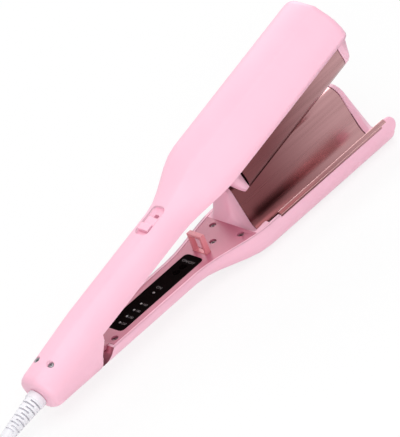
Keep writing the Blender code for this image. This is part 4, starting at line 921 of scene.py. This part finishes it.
@dataclass
class Latch(Assembly):
    """The loop on the deck, and the slider on the upper arm with its shutter."""

    loop_round: float = 0.5 * MM
    slider_round: float = 0.35 * MM
    shutter_x: Point = (97.0 * MM, 112.5 * MM)
    shutter_z: Point = (-12.0 * MM, -11.4 * MM)
    shutter_half: float = 2.2 * MM
    shutter_round: float = 0.15 * MM

    def shutter(self) -> None:
        """The slider's thin strip under its slot, which keeps hair and dust out."""
        (start, end), (z, top), half = self.shutter_x, self.shutter_z, self.shutter_half
        corners = ((start, -half), (end, -half), (end, half), (start, half))
        piece = prism("latch_slider_shutter", [Vector((x, y, z)) for x, y in corners],
                      Vector((0, 0, top - z)))
        bevel_rims(piece, self.shutter_round)
        smooth(piece)
        piece.data.transform(UPPER_FRAME)
        dress(piece, PINK, Body.SLIDER)

    def build(self) -> None:
        """Build the shutter, the loop and the slider."""
        self.shutter()
        for node, finish, width in (("latch_loop", SALMON, self.loop_round),
                                    ("latch_slider", PINK, self.slider_round)):
            self.finished_copy(node, "_moulded", finish, width, weighted=True, segments=3)


@dataclass
class Screws(Assembly):
    """Round-headed screws with a cross recess."""

    nodes: tuple = ("deck_screw_1", "deck_screw_2", "deck_screw_3", "deck_screw_4", "deck_screw_5",
                    "liner_screw_1", "liner_screw_2", "tail_screw_1", "tail_screw_2")
    head_radius: float = 2.1 * MM
    head_height: float = 1.4 * MM
    head_round: float = 0.45 * MM
    slot_width: float = 0.6 * MM
    slot_length: float = 2.3 * MM
    slot_depth: float = 0.9 * MM

    def build(self) -> None:
        """Model one head, and copy it to every screw."""
        model = self.head()
        for node in self.nodes:
            self.place(node, model)
        bpy.data.objects.remove(model)

    def head(self) -> Piece:
        """A rounded head with a cross recess, its top at the origin and facing +Z."""
        model = added("screw_model", bpy.ops.mesh.primitive_cylinder_add, vertices=32,
                      radius=self.head_radius, depth=self.head_height,
                      location=(0, 0, -self.head_height / 2))
        settle(model)
        bevel_rims(model, self.head_round, segments=3)
        for angle in (0, math.pi / 2):
            cutter = added("slot_cutter", bpy.ops.mesh.primitive_cube_add, rotation=(0, 0, angle),
                           size=1, scale=(self.slot_length, self.slot_width, 2 * self.slot_depth))
            settle(cutter)
            subtract(model, cutter)
        smooth(model, 30)
        return model

    def place(self, node: str, model: Piece) -> None:
        """Put a copy of the model where a screw's solid is.

        Args:
            node: the screw's solid.
            model: the screw head.
        """
        body = self.body_of(node)
        tail = node.startswith("tail")
        turn = (UPPER_FRAME if body is Body.UPPER else LOWER_FRAME).to_3x3()
        outwards = turn @ Vector((0, 0, -1 if tail else 1))
        corners = [vertex.co for vertex in self.frame["nodes"][node].data.vertices]
        reach = max(corner.dot(outwards) for corner in corners)
        top = [corner for corner in corners if corner.dot(outwards) > reach - 0.01 * MM]
        centre = sum(top, Vector()) / len(top)
        piece = bpy.data.objects.new(node + "_head", model.data.copy())
        bpy.context.scene.collection.objects.link(piece)
        spin = outwards.to_track_quat("Z", "Y").to_matrix().to_4x4()
        piece.data.transform(Matrix.Translation(centre) @ spin)
        dress(piece, STEEL if tail else DARK_STEEL_PAINTED_REFLECTION, body)
        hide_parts(node)


@dataclass
class CordSet(Assembly):
    """The mains cord: the slotted boot, the free cord with its stored coil, and the plug."""

    diameter: float = 5.0 * MM
    tail_length: float = 24.0 * MM
    boot_length: float = 38.0 * MM
    straight: float = 5.0 * MM
    sag_points: int = 10
    floor_points: int = 3
    coil_distance: float = 127.5 * MM
    coil_offset: float = 10.0 * MM
    coil_straight: float = 30.0 * MM
    coil_radius: float = 21.4 * MM
    turns: int = 4
    pitch: float = 5.7 * MM
    layer: float = 5.5 * MM
    turn_points: int = 24
    rise_points: int = 4
    curl_points: int = 8
    curl_step: float = 2.5 * MM
    lead: float = 6.0 * MM
    plug_half_height: float = 6.0 * MM
    plug_round: float = 0.9 * MM
    blade_round: float = 0.3 * MM
    seat: float = 0.3 * MM
    boot_gap: float = 0.3 * MM
    bore_gap: float = 0.2 * MM
    neck_length: float = 2.6 * MM
    neck_radius: float = 4.4 * MM
    flange_length: float = 2.5 * MM
    flange_radius: float = 5.7 * MM
    collar_radius: float = 6.4 * MM
    collar_length: float = 5.0 * MM
    collar_round: float = 0.5 * MM
    end_radius: float = 3.5 * MM
    end_length: float = 8.0 * MM
    end_swell: float = 0.75 * MM
    end_round: float = 0.6 * MM
    ribs: int = 10
    slot_width: float = 1.1 * MM
    slot_core: float = 3.2 * MM
    slot_far: float = 9.0 * MM
    slot_reach: float = math.radians(69)

    def outwards(self) -> Vector:
        """The way that the boot points."""
        return Vector((-math.cos(OPEN_ANGLE), 0, -math.sin(OPEN_ANGLE)))

    def exit(self) -> Vector:
        """Where the cord leaves the boot."""
        return HINGE + self.outwards() * (self.tail_length + self.boot_length)

    def outer_radius(self) -> float:
        """Radius of the coil's outermost turns."""
        return self.coil_radius + self.pitch * self.turns / 2

    def coil_centre(self) -> Vector:
        """Middle of the coil's end that is nearer the boot."""
        return Vector((HINGE.x - self.coil_distance, HINGE.y + self.coil_offset, self.diameter / 2))

    def free_route(self) -> list[Vector]:
        """From the boot down onto the table and across to the coil."""
        start = self.exit() + self.outwards() * self.straight
        end = self.coil_centre() + Vector((self.diameter + self.seat, -self.outer_radius(), 0))
        drop = start.z - self.diameter / 2
        sag = 2 * drop / math.tan(OPEN_ANGLE)
        points = []
        for i in range(self.sag_points + 1):
            share = i / self.sag_points
            points.append(Vector((start.x - sag * share, start.y,
                                  start.z - drop * (2 * share - share ** 2))))
        floor_x = points[-1].x
        for i in range(1, self.floor_points + 1):
            points.append(Vector((floor_x + (end.x - floor_x) * i / self.floor_points, start.y,
                                  end.z)))
        for point in points:
            point.y += (end.y - start.y) * smooth_step((start.x - point.x) / (start.x - end.x))
        return [self.exit()] + points[:-1]

    def shifts(self, i: int) -> tuple[float, ...]:
        """How far along X point i lies from a plain spiral: two shifts where a straight runs."""
        place = i % self.turn_points
        half = self.turn_points // 2
        if place == 0:
            return (0, -self.coil_straight)
        if place == half:
            return (-self.coil_straight, 0)
        return (-self.coil_straight,) if place < half else (0,)

    def coil_route(self) -> list[Vector]:
        """Long turns: inwards on the table, outwards on top of them, then across to the plug."""
        centre = self.coil_centre()
        count = self.turns * self.turn_points
        back = count - self.rise_points
        points = [centre + Vector((self.diameter, -self.outer_radius(), 0))]
        for i in range(2 * count + self.rise_points + self.curl_points + 1):
            inward = min(i, count)
            outward = min(max(i - count - self.rise_points, 0), back)
            curl = max(i - 2 * count - self.rise_points, 0)
            risen = (smooth_step((i - count) / self.rise_points)
                     + smooth_step((i - 2 * count) / self.rise_points))
            radius = self.outer_radius() - self.pitch * (inward - outward) / self.turn_points
            radius -= self.curl_step * curl
            angle = -math.pi / 2 - 2 * math.pi * i / self.turn_points
            for shift in self.shifts(i):
                spot = Vector((radius * math.cos(angle) + shift, radius * math.sin(angle),
                               self.layer * risen))
                points.append(centre + spot)
        points.pop()
        heading = (points[-1] - points[-2]).normalized()
        plug_height = self.diameter + self.layer + self.seat + self.plug_half_height
        rise = plug_height - points[-1].z
        for lift in (rise / 2, rise / 2, 0):
            points.append(points[-1] + heading * self.lead + Vector((0, 0, lift)))
        return points

    def build(self) -> None:
        """Build the plug, the cord that carries it, and the boot."""
        pieces = self.plug()
        route = self.free_route() + self.coil_route()
        cord = added("mains_cord", bpy.ops.curve.primitive_nurbs_path_add)
        curve = cord.data
        curve.splines.clear()
        spline = curve.splines.new("BEZIER")
        spline.bezier_points.add(len(route) - 1)
        for knot, place in zip(spline.bezier_points, route):
            knot.co = place
            knot.handle_left_type = knot.handle_right_type = "AUTO"
        spline.resolution_u = 3
        curve.dimensions = "3D"
        curve.bevel_depth = self.diameter / 2
        curve.bevel_resolution = 4
        curve.use_fill_caps = True
        dress(cord, VINYL, Body.UPPER)
        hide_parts("cord", "cord_coil")
        self.boot()

    def plug(self) -> list[Piece]:
        """The moulded plug and its blades."""
        return [self.finished_copy(node, "_moulded", finish, width, True, angle=35, fold=40)
                for node, finish, width in (("plug_body", VINYL, self.plug_round),
                                            ("plug_blade_1", BRASS, self.blade_round),
                                            ("plug_blade_2", BRASS, self.blade_round))]

    def boot_profile(self) -> list[Point]:
        """The boot's closed profile: a collar, a long taper, a smooth end and the bore."""
        start = -self.tail_length - self.boot_gap
        inner = start + self.neck_length
        flange = inner + self.flange_length
        collar = start - self.collar_length
        end = -self.tail_length - self.boot_length
        bore = self.diameter / 2 + self.bore_gap
        rim = self.collar_radius - self.collar_round
        return [(flange, bore), (flange, self.flange_radius), (inner, self.flange_radius),
                (inner, self.neck_radius), (start, self.neck_radius), (start, rim),
                (start - self.collar_round, self.collar_radius),
                (collar + self.collar_round, self.collar_radius), (collar, rim),
                (end + self.end_length, self.end_radius + self.end_swell),
                (end + self.end_round, self.end_radius),
                (end, self.end_radius - self.end_round), (end, bore)]

    def boot(self) -> None:
        """The strain relief, with the slots that let a real boot bend cut into its taper: each ring
        of slots is turned.
        """
        boot = turned("cord_boot_moulded", self.boot_profile())
        start = -self.tail_length - self.boot_gap - self.collar_length
        end = -self.tail_length - self.boot_length + self.end_length
        pitch = (end - start) / self.ribs
        cutters = []
        for i in range(self.ribs):
            x = start + pitch * (i + 0.5) - self.slot_width / 2
            for side in (0, math.pi):
                angle = side + (math.pi / 2 if i % 2 else 0)
                first, last = angle - self.slot_reach, angle + self.slot_reach
                sector = arc((0, 0), self.slot_core, first, last, 14)
                sector += arc((0, 0), self.slot_far, last, first, 14)
                cutters.append(prism("slot_cutter", [Vector((x, y, z)) for y, z in sector],
                                     Vector((self.slot_width, 0, 0))))
        select_only(cutters[0])
        for cutter in cutters:
            cutter.select_set(True)
        bpy.ops.object.join()
        subtract(boot, cutters[0])
        smooth(boot, 30)
        boot.data.transform(UPPER_FRAME)
        dress(boot, VINYL, self.body_of("cord_boot"))
        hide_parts("cord_boot")


@dataclass
class Studio:
    """The camera at the photograph's angle, soft lamps, a white floor and a white surround."""

    right: tuple = (0.66877, -0.67286, -0.31631)
    up: tuple = (0.58960, 0.22076, 0.77697)
    back: tuple = (-0.45296, -0.70612, 0.54436)
    across: float = 83.25 * MM
    above: float = 89.24 * MM
    frame_height: float = 0.26368
    distance: float = 8.0
    sensor: float = 36.0
    light_places: tuple = (("lamp_above", (-0.2, -0.3, 1.5), 1.6, 13.0),
                           ("lamp_front", (-1.1, -1.1, 0.7), 1.0, 6.5),
                           ("lamp_behind", (0.9, 1.2, 0.9), 0.8, 9.0))
    aim: tuple = (-0.05, 0, 0.03)
    floor_size: float = 60.0
    floor_glow: float = 0.8
    surround_light: float = 0.5

    def build(self) -> None:
        """Set up the camera, lamps, floor and world."""
        self.camera()
        self.lamps()
        self.floor()
        self.surround()
        bpy.context.scene.view_settings.view_transform = "Standard"

    def camera(self) -> None:
        """A long lens, far off, looking down the photograph's line."""
        camera = added("photo_camera", bpy.ops.object.camera_add)
        camera.data.sensor_width = self.sensor
        camera.data.lens = self.sensor * self.distance / self.frame_height
        camera.data.clip_end = 100.0
        right, up, back = Vector(self.right), Vector(self.up), Vector(self.back)
        place = Matrix((right, up, back)).transposed().to_4x4()
        centre = HINGE + right * self.across + up * self.above
        place.translation = centre + back * self.distance
        camera.matrix_world = place
        bpy.context.scene.camera = camera

    def lamps(self) -> None:
        """Large soft lamps: one above, one in front and one behind."""
        for name, place, size, power in self.light_places:
            lamp = added(name, bpy.ops.object.light_add, type="AREA", location=place)
            lamp.data.size = size
            lamp.data.energy = power
            towards = Vector(self.aim) - Vector(place)
            lamp.rotation_mode = "QUATERNION"
            lamp.rotation_quaternion = towards.to_track_quat("-Z", "Y")

    def seen(self, tree: Tree) -> Socket:
        """1 for rays from the camera, off glossy surfaces or through clear ones, else 0."""
        path = add_node(tree, "ShaderNodeLightPath")
        first = add_node(tree, "ShaderNodeMath", {"operation": "MAXIMUM"},
                         {0: path.outputs["Is Camera Ray"], 1: path.outputs["Is Glossy Ray"]})
        second = add_node(tree, "ShaderNodeMath", {"operation": "MAXIMUM"},
                          {0: first.outputs[0], 1: path.outputs["Is Transmission Ray"]})
        return second.outputs[0]

    def floor(self) -> None:
        """A wide white floor that keeps a faint shadow."""
        floor = added("floor", bpy.ops.mesh.primitive_plane_add, size=self.floor_size)
        material = bpy.data.materials.new("paper_white")
        material.use_nodes = True
        tree = material.node_tree
        tree.nodes.clear()
        paper = add_node(tree, "ShaderNodeBsdfDiffuse", None, {"Color": linear("F4F4F4")})
        glow = add_node(tree, "ShaderNodeEmission", None,
                        {"Color": linear("FFFFFF"), "Strength": 1.0})
        share = add_node(tree, "ShaderNodeMath", {"operation": "MULTIPLY"},
                         {0: self.seen(tree), 1: self.floor_glow})
        mix = add_node(tree, "ShaderNodeMixShader", None,
                       {0: share.outputs[0], 1: paper.outputs[0], 2: glow.outputs[0]})
        add_node(tree, "ShaderNodeOutputMaterial", None, {"Surface": mix.outputs[0]})
        floor.data.materials.append(material)

    def surround(self) -> None:
        """White where it is seen, and a plain soft light for the object."""
        world = bpy.data.worlds.new("surround")
        bpy.context.scene.world = world
        world.use_nodes = True
        tree = world.node_tree
        tree.nodes.clear()
        light, white = (add_node(tree, "ShaderNodeBackground", None,
                                 {"Color": linear("FFFFFF"), "Strength": strength})
                        for strength in (self.surround_light, 1.0))
        mix = add_node(tree, "ShaderNodeMixShader", None,
                       {0: self.seen(tree), 1: light.outputs[0], 2: white.outputs[0]})
        add_node(tree, "ShaderNodeOutputWorld", None, {"Surface": mix.outputs[0]})


def dress_solids(frame: dict) -> None:
    """Give every solid that still shows the finish of its slot."""
    for name, solid in frame["nodes"].items():
        if not solid.hide_render:
            finish = FINISH_OF_SLOT[solid.data.materials[0].name.split(".")[0]]
            solid.data.materials[0] = finish.material()
            LOG.info("%s: %s", name, finish.name)


def main() -> None:
    """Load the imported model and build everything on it."""
    logging.basicConfig(level=logging.INFO, format="%(name)s: %(message)s")
    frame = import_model()
    Studio().build()
    for assembly in (CordSet, Casings, Plates, Panel, Latch, Screws):
        assembly(frame).build()
    dress_solids(frame)


if __name__ == "__main__":
    main()
